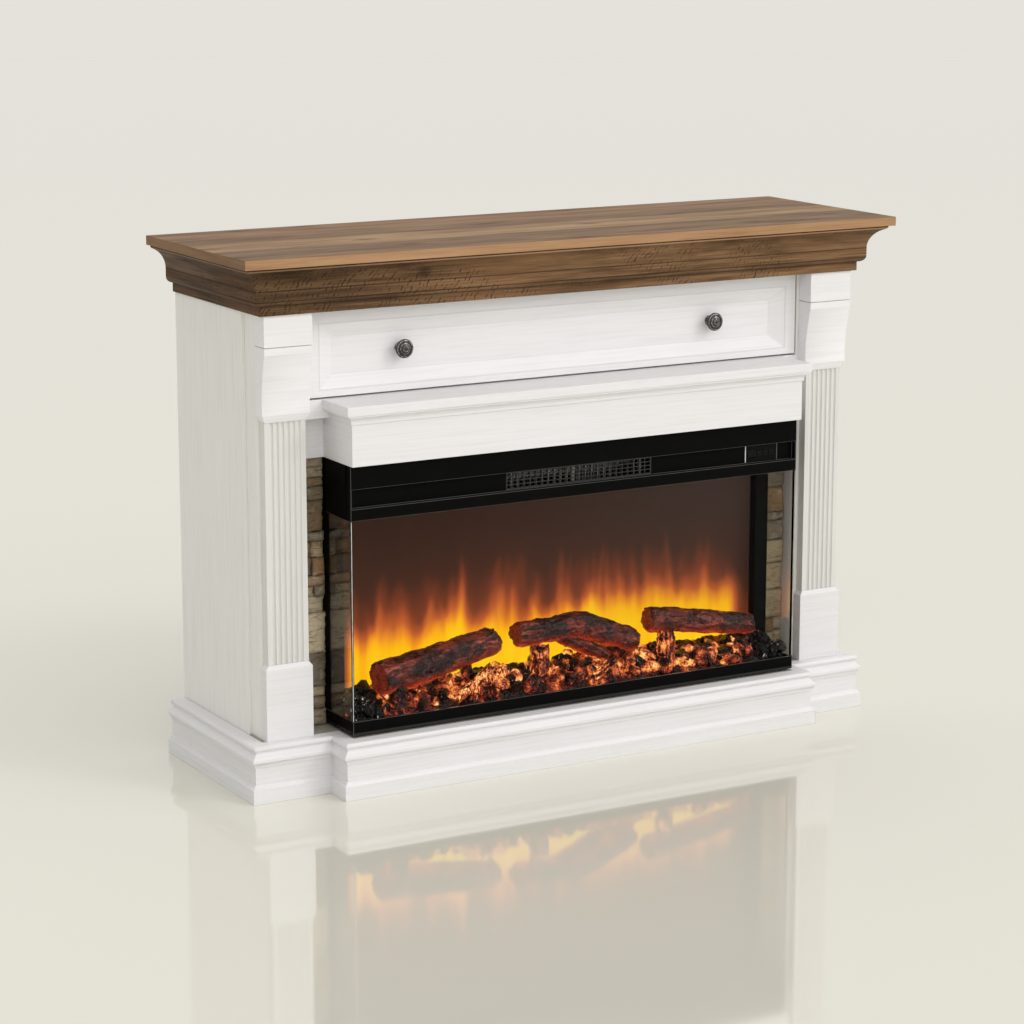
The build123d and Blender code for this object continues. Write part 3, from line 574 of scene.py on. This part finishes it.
def build_stones():
    """Ledgestone panels beside the firebox: courses of split blocks over a dark mortar back."""
    low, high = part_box("stone_panels")
    inner, outer = STONE_INNER, high.x
    face, back = low.y, high.y - CLEAR
    rng = np.random.default_rng(41)
    stones = Meshes()
    for side in (-1, 1):
        z = low.z + CLEAR
        while z < high.z - 0.004:
            height = float(rng.choice(COURSES))
            height = min(height * rng.uniform(0.9, 1.1), high.z - CLEAR - z)
            if high.z - (z + height) < 0.012:
                height = high.z - CLEAR - z
            cuts = [0.0, 1.0]
            if rng.random() < 0.22:
                cuts = [0.0, rng.uniform(0.3, 0.7), 1.0]
            for start, end in zip(cuts, cuts[1:]):
                x0 = inner + start * (outer - inner) + JOINT
                x1 = inner + end * (outer - inner) - JOINT
                rows = [(z + JOINT, z + height - JOINT)]
                if height > 0.034 and len(cuts) > 2:
                    middle = z + height * rng.uniform(0.4, 0.6)
                    rows = [(z + SPLIT_EDGE, middle - SPLIT_JOINT),
                            (middle + SPLIT_JOINT, z + height - SPLIT_EDGE)]
                for z0, z1 in rows:
                    add_stone(stones, rng, side, (x0, x1), (z0, z1), face, back)
            z += height
    piece = stones.piece("ledgestone_panels", ledgestone(), "stacked_stone")
    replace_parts(piece, "stone_panels")

    mortar = Meshes()
    for side in (-1, 1):
        xs = sorted((side * inner, side * outer))
        mortar.add(*slab((xs[0], face + MORTAR_DEPTH, low.z), (xs[1], high.y, high.z)))
    cement = board("mortar", (64, 56, 47), (30, 26, 22), 300)
    piece = mortar.piece("mortar_back", cement, "stacked_stone", smooth=False)
    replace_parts(piece, "stone_panels")


def slab(low, high):
    """Vertices and faces of a plain box."""
    x0, y0, z0 = low
    x1, y1, z1 = high
    vertices = [(x, y, z) for x in (x0, x1) for y in (y0, y1) for z in (z0, z1)]
    faces = [(0, 1, 3, 2), (4, 6, 7, 5), (0, 4, 5, 1), (2, 3, 7, 6), (0, 2, 6, 4), (1, 5, 7, 3)]
    return vertices, faces


def sheet(xs, ys):
    """The points of a grid, as two flat arrays, x fastest."""
    x, y = np.meshgrid(xs, ys)
    return x.ravel(), y.ravel()


def sheet_faces(columns, rows):
    """The grid's quads, row by row."""
    return [(a, a + 1, a + columns + 1, a + columns)
            for row in range(rows - 1) for a in range(row * columns, row * columns + columns - 1)]


STONE_MESH = 0.0016                 # spacing of the points on a stone's face


def add_stone(stones, rng, side, span_x, span_z, face, back):
    """One split block: a rough pillowed face, chipped edges, straight sides back into the mortar."""
    width, height = span_x[1] - span_x[0], span_z[1] - span_z[0]
    columns, rows = max(8, int(width / STONE_MESH)), max(7, int(height / STONE_MESH))
    u, v = sheet(np.linspace(0, 1, columns), np.linspace(0, 1, rows))
    x = span_x[0] + u * width
    z = span_z[0] + v * height
    seed = int(rng.integers(1e6))
    depth = rng.uniform(0.0008, 0.0060)
    tilt_x, tilt_z = rng.uniform(-0.0018, 0.0018, 2)
    points = np.column_stack([x, z, np.full_like(x, seed * 0.013)])
    rough = fractal(points, 70, 3, 5)
    edge = np.minimum.reduce([u * width, (1 - u) * width, v * height, (1 - v) * height])
    round_off = 0.0030 * (1 - smoothstep(0, 0.0045, edge + 0.0012 * fractal(points, 160, 8, 2)))
    strata = 0.0012 * fractal(points * (0.4, 1.6, 1), 260, 17, 4)
    y = face + depth + 0.0030 * (0.6 - rough) + strata + tilt_x * (u - 0.5) + tilt_z * (v - 0.5) + round_off
    wander = smoothstep(0.006, 0.0, edge) * 0.0007
    x = x + wander * fractal(points, 150, 12, 2)
    z = z + wander * fractal(points, 150, 15, 2)
    front = np.column_stack([side * x, y, z])
    faces = [quad if side > 0 else quad[::-1] for quad in sheet_faces(columns, rows)]
    border = list(range(columns))
    border += [row * columns + columns - 1 for row in range(1, rows)]
    border += [(rows - 1) * columns + column for column in range(columns - 2, -1, -1)]
    border += [row * columns for row in range(rows - 2, 0, -1)]
    rim = front[border].copy()
    rim[:, 1] = back
    vertices = np.vstack([front, rim])
    count = len(front)
    for i, here in enumerate(border):
        following = border[(i + 1) % len(border)]
        quad = (here, count + i, count + (i + 1) % len(border), following)
        faces.append(quad if side > 0 else quad[::-1])
    # painted shade: darker towards the face's edges, darkest on the sides that run back into the mortar
    shade = np.concatenate([np.clip(1.0 - 0.24 * smoothstep(0.003, 0.0, edge), 0, 1), np.full(len(rim), 0.4)])
    stones.add(vertices, faces, tint=rng.random(), shade=shade)


# ---- logs and embers -------------------------------------
def burnt_wood():
    """Resin logs: charred bark, red-brown wood, pale hairlines of painted highlight, a glow from below and in
    the cracks.
    """
    g = Graph("burnt_wood")
    crack = g.attribute("crack")
    glow = g.attribute("glow")
    end = g.attribute("end")
    grain = g.noise(g.place((0.22, 1, 1)), 190, 6, 0.7, 0.4)
    blotch = g.noise(g.place((0.6, 1, 1), (3, 1, 2)), 38, 3, 0.6)
    fine = g.noise(g.place(), 620, 3, 0.65)
    char = g.ramp(grain, (0.35, 12, 6, 5), (0.55, 50, 20, 15), (0.72, 98, 60, 48))
    wood = g.ramp(grain, (0.32, 44, 15, 11), (0.52, 118, 40, 26), (0.68, 196, 104, 74))
    colour = g.mix(g.window(blotch, 0.40, 0.58), char, wood)
    # painted highlight: pale hairlines where the fine noise is high
    colour = g.mix(g.window(fine, 0.60, 0.76, 0.0, 0.7), colour, tone(168, 132, 112))
    colour = g.mix(g.window(fine, 0.44, 0.30, 0.0, 0.8), colour, tone(14, 9, 8))
    end_wood = g.ramp(grain, (0.35, 74, 24, 14), (0.6, 150, 66, 38))
    colour = g.mix(g.times(end, 0.85), colour, end_wood)
    colour = g.mix(crack, colour, tone(12, 7, 6))
    heat = g.times(glow, g.window(fine, 0.36, 0.66, 0.25, 1.0))
    fire = g.ramp(heat, (0.0, 0, 0, 0), (0.30, 110, 20, 8), (0.65, 214, 76, 24), (1.0, 255, 160, 70))
    height = g.add(grain, g.times(fine, 0.5))
    return g.surface(colour, g.rough(fine, 0.55, 0.30), (height, 0.0012, 0.9), specular=0.22,
                     Emission_Color=fire, Emission_Strength=1.0)


def resample(points, count):
    """Evenly spaced points on a smoothed line through a few given ones."""
    points = np.asarray(points, float)
    steps = np.concatenate([[0], np.cumsum(np.linalg.norm(np.diff(points[:, :3], axis=0), axis=1))])
    even = np.linspace(0, steps[-1], count)
    line = np.column_stack([np.interp(even, steps, points[:, i]) for i in range(points.shape[1])])
    for _ in range(max(1, count // 8)):
        line[1:-1] = (line[:-2] + 2 * line[1:-1] + line[2:]) / 4
    return line


CAP_RINGS = 10                      # rings of points across a log's broken end


def add_log(store, stations, seed, rings=120, sides=72):
    """A log along (x, y, z, radius) stations: lumpy bark with long fissures, and broken ends."""
    line = resample(stations, rings)
    centres, radii = line[:, :3], line[:, 3]
    tangents = np.gradient(centres, axis=0)
    tangents /= np.linalg.norm(tangents, axis=1)[:, None]
    sideways = np.cross(tangents, np.array([0.0, 0.0, 1.0]))
    sideways /= np.linalg.norm(sideways, axis=1)[:, None]
    upward = np.cross(sideways, tangents)
    angles = np.linspace(0, 2 * np.pi, sides, endpoint=False)
    length = np.concatenate([[0], np.cumsum(np.linalg.norm(np.diff(centres, axis=0), axis=1))])
    cosine, sine = np.cos(angles), np.sin(angles)
    ring_points = np.stack([
        np.repeat(length[:, None], sides, 1),
        np.broadcast_to(cosine * 0.02, (rings, sides)),
        np.broadcast_to(sine * 0.02, (rings, sides)),
    ], -1).reshape(-1, 3) + seed * 0.37
    lumps = fractal(ring_points, 28, seed, 3).reshape(rings, sides)
    stretched = ring_points * (0.28, 1, 1)
    bark = fractal(stretched, 210, seed + 5, 4).reshape(rings, sides)
    fissure = np.abs(fractal(stretched, 120, seed + 9, 3)).reshape(rings, sides)
    crack = 1 - smoothstep(0.02, 0.13, fissure)
    cross = np.abs(fractal(ring_points * (1.3, 0.5, 0.5), 75, seed + 13, 3)).reshape(rings, sides)
    crack = np.maximum(crack, (1 - smoothstep(0.01, 0.07, cross)) * 0.8)
    radius = radii[:, None] * (1 + 0.10 * lumps) + 0.0022 * bark - 0.0026 * crack
    end_distance = np.minimum(length, length[-1] - length)
    radius = radius * (0.90 + 0.10 * smoothstep(0, 0.008, end_distance))[:, None]
    wall = centres[:, None, :] + radius[..., None] * (
        cosine[None, :, None] * sideways[:, None, :] + sine[None, :, None] * upward[:, None, :])
    around = np.column_stack([cosine * 0.02, sine * 0.02, np.full(sides, seed * 0.1)])
    jag = 0.0035 * fractal(around, 110, seed + 21, 3)
    wall[0] += jag[:, None] * tangents[0]
    wall[-1] += jag[:, None] * tangents[-1]
    under = smoothstep(0.15, 1.0, -np.broadcast_to(sine, (rings, sides)))
    glow = under * (0.55 + 0.45 * lumps)
    vertices = [wall.reshape(-1, 3)]
    glows, cracks, ends = [glow.ravel()], [crack.ravel()], [np.zeros(rings * sides)]
    faces = []
    for ring in range(rings - 1):
        for side in range(sides):
            a = ring * sides + side
            b = ring * sides + (side + 1) % sides
            faces.append((a, a + sides, b + sides, b))
    count = rings * sides
    for ring, direction in ((0, -1), (rings - 1, 1)):
        previous = [ring * sides + side for side in range(sides)]
        for step in range(1, CAP_RINGS):
            share = 1 - step / CAP_RINGS
            flat = centres[ring] + (wall[ring] - centres[ring]) * share
            rough = fractal(flat + seed, 130, seed + 31, 4)
            rings_of_growth = 0.0005 * np.sin(share * 26 + rough * 3)
            flat = flat - (direction * 0.0032 * (1 - share ** 2) + 0.0022 * rough * (1 - share * 0.5)
                           + rings_of_growth)[:, None] * tangents[ring]
            vertices.append(flat)
            glows.append(0.28 * (0.6 + 0.6 * rough))
            cracks.append(np.clip(smoothstep(0.35, 0.6, rough), 0, 0.7))
            ends.append(np.ones(sides))
            current = list(range(count, count + sides))
            for side in range(sides):
                following = (side + 1) % sides
                quad = (previous[side], previous[following], current[following], current[side])
                faces.append(quad if direction < 0 else quad[::-1])
            previous = current
            count += sides
        faces.append(tuple(previous) if direction < 0 else tuple(reversed(previous)))
    store.add(np.vstack(vertices), faces, glow=np.clip(np.concatenate(glows), 0, 1),
              crack=np.clip(np.concatenate(cracks), 0, 1), end=np.concatenate(ends))


DEPTH_SHIFT = cad_box[1].y          # the cabinet's back plane in the shared frame


def at(x, y, z, radius):
    """A log station in millimetres, y measured from the cabinet's back plane."""
    return (x * MM, DEPTH_SHIFT + y * MM, z * MM, radius * MM)


def build_logs():
    wood = burnt_wood()
    left = Meshes()
    add_log(left, [at(-356, -321, 170, 27), at(-240, -308, 184, 27), at(-131, -294, 199, 23)], 3)
    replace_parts(left.piece("bark_log_left", wood, "burnt_resin"), "log_left")

    centre = Meshes()
    add_log(centre, [at(-94, -304, 206, 20), at(-30, -302, 207, 20), at(18, -302, 210, 23),
                     at(76, -304, 191, 22), at(135, -305, 167, 18)], 11)
    add_log(centre, [at(-12, -304, 196, 13), at(30, -307, 175, 12), at(74, -310, 153, 10)], 17, 70, 48)
    add_log(centre, [at(8, -303, 206, 14), at(14, -303, 228, 10)], 23, 30, 40)
    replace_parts(centre.piece("bark_log_centre", wood, "burnt_resin"), "log_centre")

    right = Meshes()
    add_log(right, [at(160, -302, 201, 21), at(265, -302, 185, 20), at(370, -302, 167, 17)], 29)
    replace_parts(right.piece("bark_log_right", wood, "burnt_resin"), "log_right")


def embers():
    """Glowing resin embers: bright cells between black char, hotter where the warmth attribute says."""
    g = Graph("embers")
    heat = g.attribute("warmth")
    tall = g.attribute("tall")
    cells = g.voronoi(g.place(), 62)
    stripes = g.noise(g.place((1.0, 1.0, 0.16)), 260, 3, 0.6)
    fine = g.noise(g.place(offset=(2, 0, 1)), 340, 4, 0.7)
    speck = g.window(fine, 0.40, 0.58)
    blotch = g.noise(g.place(offset=(5, 3, 1)), 36, 3, 0.6)
    core = g.window(cells, 0.70, 0.20)
    pattern = g.add(g.times(core, g.minus(1.0, tall)), g.times(g.window(stripes, 0.42, 0.60), tall))
    level = g.add(g.times(pattern, 0.40), g.times(speck, 0.38))
    level = g.add(level, g.times(g.minus(blotch, 0.455), 2.1))
    level = g.times(level, heat)
    fire = g.ramp(level, (0.0, 0, 0, 0), (0.24, 26, 7, 4), (0.40, 124, 42, 22), (0.58, 212, 102, 52),
                  (0.78, 252, 172, 88), (1.0, 255, 222, 144))
    # painted highlight: sparse pale glints on the cold black coals
    painted_glint = g.window(g.noise(g.place((1, 1, 0.35), (7, 1, 2)), 210, 2), 0.66, 0.70)
    painted_glint = g.times(painted_glint, g.window(heat, 0.16, 0.04))
    colour = g.ramp(fine, (0.35, 3, 3, 3), (0.62, 15, 11, 10), (0.80, 56, 46, 40))
    colour = g.mix(painted_glint, colour, tone(206, 209, 208))
    return g.surface(colour, g.rough(fine, 0.45, 0.12), (fine, 0.0014, 0.9), specular=0.14,
                     Emission_Color=fire, Emission_Strength=1.1)


def rock(rng, size):
    """An irregular faceted lump about `size` across: an icosphere cut by random planes."""
    mesh = bmesh.new()
    bmesh.ops.create_icosphere(mesh, subdivisions=2, radius=1.0)
    vertices = np.array([v.co for v in mesh.verts])
    faces = [[v.index for v in face.verts] for face in mesh.faces]
    mesh.free()
    for _ in range(9):
        normal = rng.normal(size=3)
        normal /= np.linalg.norm(normal)
        reach = rng.uniform(0.45, 0.8)
        over = vertices @ normal - reach
        vertices = vertices - np.outer(np.clip(over, 0, None), normal)
    vertices = vertices * rng.uniform(0.55, 1.15, 3) * size / 2
    angle = rng.uniform(0, 2 * np.pi)
    turn = np.array([[math.cos(angle), -math.sin(angle), 0], [math.sin(angle), math.cos(angle), 0], [0, 0, 1]])
    return vertices @ turn.T, faces


def bed_height(x, y):
    """Height of the ember bed under a point: rises from the front lip to the screen."""
    slope = np.interp(y - DEPTH_SHIFT, [-0.352, -0.336, -0.300, -0.264], [0.109, 0.121, 0.136, 0.146])
    points = np.column_stack([x, y, np.zeros_like(x)])
    return slope + 0.006 * fractal(points, 24, 71, 3)


# Large coals in the bed: x, y, z, size in millimetres, and how hot each is.
LUMPS = ((-386, -338, 133, 44, 0.0), (-366, -344, 122, 34, 0.0), (-398, -326, 128, 36, 0.0),
         (404, -336, 128, 42, 0.0), (386, -343, 120, 30, 0.0), (114, -322, 140, 50, 0.95),
         (150, -334, 128, 34, 0.85), (252, -328, 134, 36, 0.75), (302, -334, 126, 30, 0.7),
         (338, -324, 136, 34, 0.45), (-285, -336, 126, 38, 0.6), (-22, -330, 134, 40, 0.8))
# Split and standing pieces: two (x, y, z, radius) ends in millimetres, and how hot each is.
SPLINTERS = (((-222, -336, 121, 8), (-152, -326, 166, 6), 1.0),
             ((-196, -341, 118, 6), (-168, -330, 158, 5), 0.95),
             ((-172, -326, 138, 14), (-118, -306, 150, 13), 0.9),
             ((-60, -318, 108, 18), (-53, -312, 186, 16), 0.75),
             ((186, -320, 106, 17), (190, -314, 180, 15), 0.75),
             ((-330, -332, 106, 18), (-320, -326, 156, 15), 0.5),
             ((24, -336, 118, 7), (84, -328, 148, 6), 0.9),
             ((340, -318, 110, 15), (344, -312, 150, 13), 0.4))


def add_splinter(bed, stations, seed, heat):
    """A glowing split piece: the same bark as a log, with its fissures left dark."""
    split = Meshes()
    add_log(split, stations, seed, 22, 18)
    dark = np.concatenate(split.attributes["crack"])
    bed.add(np.concatenate(split.vertices), split.faces, warmth=heat * (1.0 - 0.8 * dark), tall=1.0)


ROCKS = 230
COLD_SHARE = 0.24                   # the share of rocks that barely glow
BARE_ENDS = (0.375, 0.290)          # no rocks further out than this and nearer the screen than this
WARM_SPAN = (0.372, 0.340)          # the glow fades between these distances from the middle


def build_embers():
    low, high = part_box("ember_bed")
    rng = np.random.default_rng(77)
    bed = Meshes()
    columns, rows = 420, 56
    x, y = sheet(np.linspace(low.x, high.x, columns), np.linspace(low.y, high.y, rows))
    points = np.column_stack([x, y, np.zeros_like(x)])
    z = bed_height(x, y) + 0.0035 * fractal(points, 110, 75, 4)
    hot = np.clip(0.62 + 0.5 * fractal(points, 16, 79, 3), 0, 1) * smoothstep(*WARM_SPAN, np.abs(x))
    bed.add(np.column_stack([x, y, z]), sheet_faces(columns, rows), warmth=hot, tall=0.0)

    for _ in range(ROCKS):
        cx = rng.uniform(low.x + 0.012, high.x - 0.012)
        cy = rng.uniform(low.y + 0.012, high.y - 0.010)
        size = rng.uniform(0.016, 0.040)
        if abs(cx) > BARE_ENDS[0] and cy > DEPTH_SHIFT - BARE_ENDS[1]:
            continue
        vertices, faces = rock(rng, size)
        base = bed_height(np.array([cx]), np.array([cy]))[0]
        heat = np.clip(rng.uniform(0.40, 1.25), 0, 1) * float(smoothstep(*WARM_SPAN, abs(cx)))
        if rng.random() < COLD_SHARE:
            heat *= 0.10
        vertices = vertices + (cx, cy, base + size * 0.10)
        bed.add(vertices, faces, warmth=heat, tall=0.0)

    for x, y, z, size, heat in LUMPS:
        vertices, faces = rock(rng, size * MM)
        bed.add(vertices + at(x, y, z, 0)[:3], faces, warmth=heat, tall=0.0)
    for seed, (start, end, heat) in enumerate(SPLINTERS):
        add_splinter(bed, [at(*start), at(*end)], 40 + seed, heat)

    piece = bed.piece("ember_coals", embers(), "ember_resin", smooth=False)
    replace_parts(piece, "ember_bed")


# ---- flame picture ---------------------------------------
def flame_picture():
    """The rear screen: the flame light that falls on it, a painted reflection of the front glass over its upper
    right, with a dark satin panel behind.
    """
    g = Graph("flame_picture")
    heat = g.attribute("warmth")
    painted_reflection = g.attribute("painted_reflection")
    wisp = g.noise(g.place((1, 1, 0.12)), 60, 4, 0.6)
    heat = g.add(heat, g.times(g.minus(wisp, 0.5), g.times(heat, 0.35)))
    fire = g.ramp(heat, (0.0, 26, 15, 8), (0.18, 62, 30, 15), (0.36, 126, 56, 26), (0.55, 194, 94, 38),
                  (0.72, 240, 146, 28), (0.86, 255, 186, 10), (1.0, 255, 206, 26))
    # painted reflection: a grey-brown cast over the flame light
    colour = g.mix(painted_reflection, fire, tone(56, 44, 38))
    fine = g.noise(g.place(), 900, 2)
    return g.surface(tone(8, 7, 6), g.rough(fine, 0.5, 0.4), (fine, 0.0001, 0.3), specular=0.1,
                     Emission_Color=colour, Emission_Strength=1.0)


BED_TOP = 0.15                      # heights of the picture's features
TONGUE_FOOT = 0.185
CREST = 0.200
TONGUES = 120


def build_flames():
    """The flame picture on the rear screen: a low uneven band, soft tongues above it, and haze."""
    low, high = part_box("flame_screen")
    columns, rows = 520, 230
    x, z = sheet(np.linspace(low.x, high.x, columns), np.linspace(low.z, high.z, rows))
    rise = (z - BED_TOP) / (high.z - BED_TOP)
    rng = np.random.default_rng(15)
    ends = smoothstep(-0.390, -0.365, x) * smoothstep(0.385, 0.345, x)
    dip = np.exp(-((x + 0.070) / 0.055) ** 2)
    line = np.column_stack([x, np.zeros_like(x), np.zeros_like(x)])
    crest = CREST - 0.022 * dip + 0.016 * fractal(line, 20, 35, 3)
    uneven = 0.75 + 0.35 * fractal(line + (0, 3.0, 0), 34, 37, 3)
    band = smoothstep(crest + 0.050, crest - 0.030, z) * uneven
    tongues = np.zeros_like(x)
    for _ in range(TONGUES):
        start = rng.uniform(-0.385, 0.365)
        tall = 0.060 + 0.150 * rng.random() ** 1.7
        wide = rng.uniform(0.005, 0.013)
        lean = rng.normal() * 0.014
        phase = rng.uniform(0, 2 * math.pi)
        strength = rng.uniform(0.15, 0.62)
        t = np.clip((z - TONGUE_FOOT) / tall, 0, 1)
        centre = start + lean * t + 0.003 * np.sin(z * 55 + phase) * t
        spread = wide * (1.2 - 0.9 * t) + 0.0015
        tongues = tongues + strength * np.exp(-((x - centre) / spread) ** 2) * (1 - t) ** 1.5
    points = np.column_stack([x, z * 0.35, np.zeros_like(x)])
    ripple = 0.5 + 0.5 * fractal(points, 26, 33, 4)
    haze = np.exp(-np.clip(z - 0.195, 0, None) / 0.080) * (0.42 + 0.30 * ripple)
    far = np.exp(-np.clip(z - CREST, 0, None) / 0.22) * 0.10
    heat = 1 - np.exp(-(1.45 * band + 0.85 * tongues + haze + far))
    heat = heat * (0.30 + 0.70 * ends)
    # painted reflection: grows to the right and upward, for the front glass's reflection
    painted_reflection = smoothstep(-0.3, 0.4, x) * 0.6 * np.clip(rise * 1.3, 0, 1)
    front = np.column_stack([x, np.full_like(x, low.y), z])
    screen = Meshes()
    screen.add(front, sheet_faces(columns, rows), warmth=heat, painted_reflection=painted_reflection)
    behind, box_faces = slab((low.x, low.y + 0.0005, low.z), tuple(high))
    screen.add(behind, box_faces, warmth=0.0, painted_reflection=0.0)
    piece = screen.piece("flame_picture", flame_picture(), "flame_panel", smooth=False)
    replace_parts(piece, "flame_screen")


# ---- glass corners ---------------------------------------
def build_glass_edges():
    """The ground and polished arris down each front corner of the glass, coloured pale as painted highlight for
    the light it catches.
    """
    low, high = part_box("glass_front")
    width, inset = 0.0013, 0.0001
    edges = Meshes()
    for side in (-1, 1):
        corner = side * (high.x - inset)
        xs = sorted((corner, corner - side * width))
        vertices, faces = slab((xs[0], low.y + inset, low.z + 0.001), (xs[1], low.y + width, high.z - 0.001))
        edges.add(vertices, faces)
    g = Graph("arris_painted_highlight")
    chips = g.noise(g.place((1, 1, 0.25)), 420, 3, 0.6)
    # painted highlight: the pale colour stands for the light on the arris as well as its ground finish
    colour = g.mix(g.window(chips, 0.4, 0.7), tone(196, 200, 196), tone(150, 156, 152))
    polished = g.surface(colour, g.rough(chips, 0.16, 0.32), (chips, 0.0001, 0.4))
    piece = edges.piece("glass_corner_edges", polished, "clear_glass", smooth=False)
    bevel = piece.modifiers.new("round", "BEVEL")
    bevel.width = 0.0003
    bevel.segments = 2


# ---- finishes on the CAD nodes ---------------------------
def round_edges(name, width):
    """A small rounding on a CAD node's sharp edges."""
    node = nodes[name]
    weld = node.modifiers.new("weld", "WELD")
    weld.merge_threshold = 1e-6
    flatten = node.modifiers.new("flatten", "DECIMATE")
    flatten.decimate_type = "DISSOLVE"
    flatten.angle_limit = math.radians(0.5)
    bevel = node.modifiers.new("round", "BEVEL")
    bevel.width = width
    bevel.segments = 2
    bevel.limit_method = "ANGLE"
    bevel.angle_limit = math.radians(35)
    bevel.harden_normals = True


def dress(material, *names, width=0.0006):
    """Gives CAD nodes a material and, unless width is 0, rounded edges."""
    for name in names:
        data = nodes[name].data
        data.materials.clear()
        data.materials.append(material)
        if width:
            round_edges(name, width)


dress(oak_planks(), "top_board", width=0.0008)
dress(crown_wood("front", "x", 3.0), "crown_front")
dress(crown_wood("side", "y", 7.0), "crown_left", "crown_right")
dress(white_laminate("x", "x"), "drawer_rail", "recess_board")
dress(white_laminate("drawer", "x", lines=sunk_panel_lines), "drawer_front")
# painted shade: the levels below darken the corbels, shelf, base, columns and sides for the light they fall in
dress(white_laminate("dim", "x", 0.98), "corbels", "corbel_caps")
dress(white_laminate("mitred", "around", 0.93), "mantel_shelf", "shelf_moulding", "facia_box")
dress(white_laminate("base", "around", 0.90), "skirt_centre", "skirt_left", "skirt_right", "plinth_blocks")
dress(white_laminate("z", "z", 0.84), "fluted_columns", "partitions", width=0.0005)
dress(white_laminate("side", "z", 0.97), "side_panel_left", "side_panel_right", "pilaster_boards")
chip = board("grey_chipboard", (170, 164, 154), (140, 133, 123), 620)
dress(chip, "head_rail", "drawer_deck", "base_deck", "drawer_sides", "drawer_back")
hard = board("hardboard", (142, 106, 74), (118, 86, 59), 1000)
dress(hard, "back_panel", "drawer_bottom", width=0)
black = coated_metal("black_steel", tone(7, 7, 7), tone(12, 12, 12), 0.42, specular=0.035,
                     rear=tone(42, 42, 43))
dress(black, "firebox_case", "heater_duct")
edged = coated_metal("black_steel_edged", tone(6, 6, 6), tone(11, 11, 11), 0.42, specular=0.04, edge=0.62)
dress(edged, "lip_tray", "insert_header", width=0.0009)
grille = coated_metal("grille_steel", tone(32, 32, 33), tone(50, 50, 50), 0.30)
dress(grille, "header_grille", width=0)
dress(panel_plastic(), "control_panel", width=0.0004)
plastic = coated_metal("black_plastic", tone(9, 9, 10), tone(15, 15, 16), 0.34, specular=0.08, edge=0.2)
dress(plastic, "power_rocker", "heat_button", "flame_button", "timer_button", "cord_gland", width=0.0004)
for side in ("left", "right"):
    dress(aged_knob(side), f"knob_{side}", width=0)
zinc = coated_metal("zinc_steel", tone(176, 178, 180), tone(140, 142, 144), 0.32, metallic=0.9, grain=300)
dress(zinc, "slide_cabinet_members", "slide_middle_members", "slide_drawer_members", "cabinet_screws",
      "flame_rod", "blower_wheel", width=0)
motor = coated_metal("motor_steel", tone(122, 122, 120), tone(88, 86, 84), 0.4, metallic=0.7, grain=300)
dress(motor, "rod_motor", "blower_motor", width=0)
dress(heater_mica(), "heating_element", width=0)
dress(green_circuit(), "circuit_board", width=0)
dress(light_strip(), "led_strips", width=0)
dress(glass("front_glass", 1.08), "glass_front", width=0)
dress(glass("side_glass", 1.75), "glass_sides", width=0)

build_stones()
build_logs()
build_embers()
build_flames()
build_glass_edges()


# ---- floor, light, camera --------------------------------
def build_floor():
    """A wide glossy pale floor that mirrors the lit firebox."""
    g = Graph("pale_floor")
    speckle = g.noise(g.place(), 3.0, 2)
    colour = g.mix(g.times(speckle, 0.02), tone(228, 225, 214), tone(224, 221, 210))
    shader = g.principled(Base_Color=colour, Roughness=0.06, IOR=2.9)
    material = g.finish(shader)
    mesh = bmesh.new()
    bmesh.ops.create_circle(mesh, cap_ends=True, radius=100.0, segments=64)
    data = bpy.data.meshes.new("floor")
    mesh.to_mesh(data)
    mesh.free()
    data.materials.append(material)
    floor = put("floor", data)
    floor.location.z = -0.0002          # just clear of the skirting's underside


def build_world():
    """An even pale room with a broad soft light high in front, to the right."""
    g = Graph("studio", bpy.data.worlds)
    bpy.context.scene.world = g.material
    brightest = Vector((0.45, -0.75, 0.55)).normalized()
    inputs = {0: g.node("TexCoord").outputs["Generated"], 1: brightest}
    towards = g.node("VectorMath", inputs, operation="DOT_PRODUCT").outputs["Value"]
    strength = g.window(towards, 0.35, 1.0, to_low=0.96, to_high=1.85)
    room = g.node("Background", {"Color": tone(229, 228, 224), "Strength": strength})
    g.node("OutputWorld", {"Surface": room.outputs["Background"]})


def build_lamps():
    """A soft sun from the front right."""
    light = bpy.data.lights.new("key", "SUN")
    light.energy = 0.45
    light.angle = math.radians(14)
    put("key", light).rotation_euler = Vector((0.55, -0.62, 0.56)).to_track_quat("Z", "Y").to_euler()


def build_camera():
    """At the left of the front, a little above, looking down."""
    data = bpy.data.cameras.new("camera")
    data.sensor_width = 36.0
    data.lens = 105.01
    data.clip_start = 0.05
    data.clip_end = 400.0
    camera = put("camera", data)
    yaw, pitch = 0.51703, 0.21036
    camera.location = (-2.4404, -4.2236, 1.4231)
    camera.rotation_euler = (math.pi / 2 - pitch, 0.0, -yaw)
    bpy.context.scene.camera = camera


build_floor()
build_world()
build_lamps()
build_camera()
bpy.context.scene.view_settings.view_transform = "Standard"
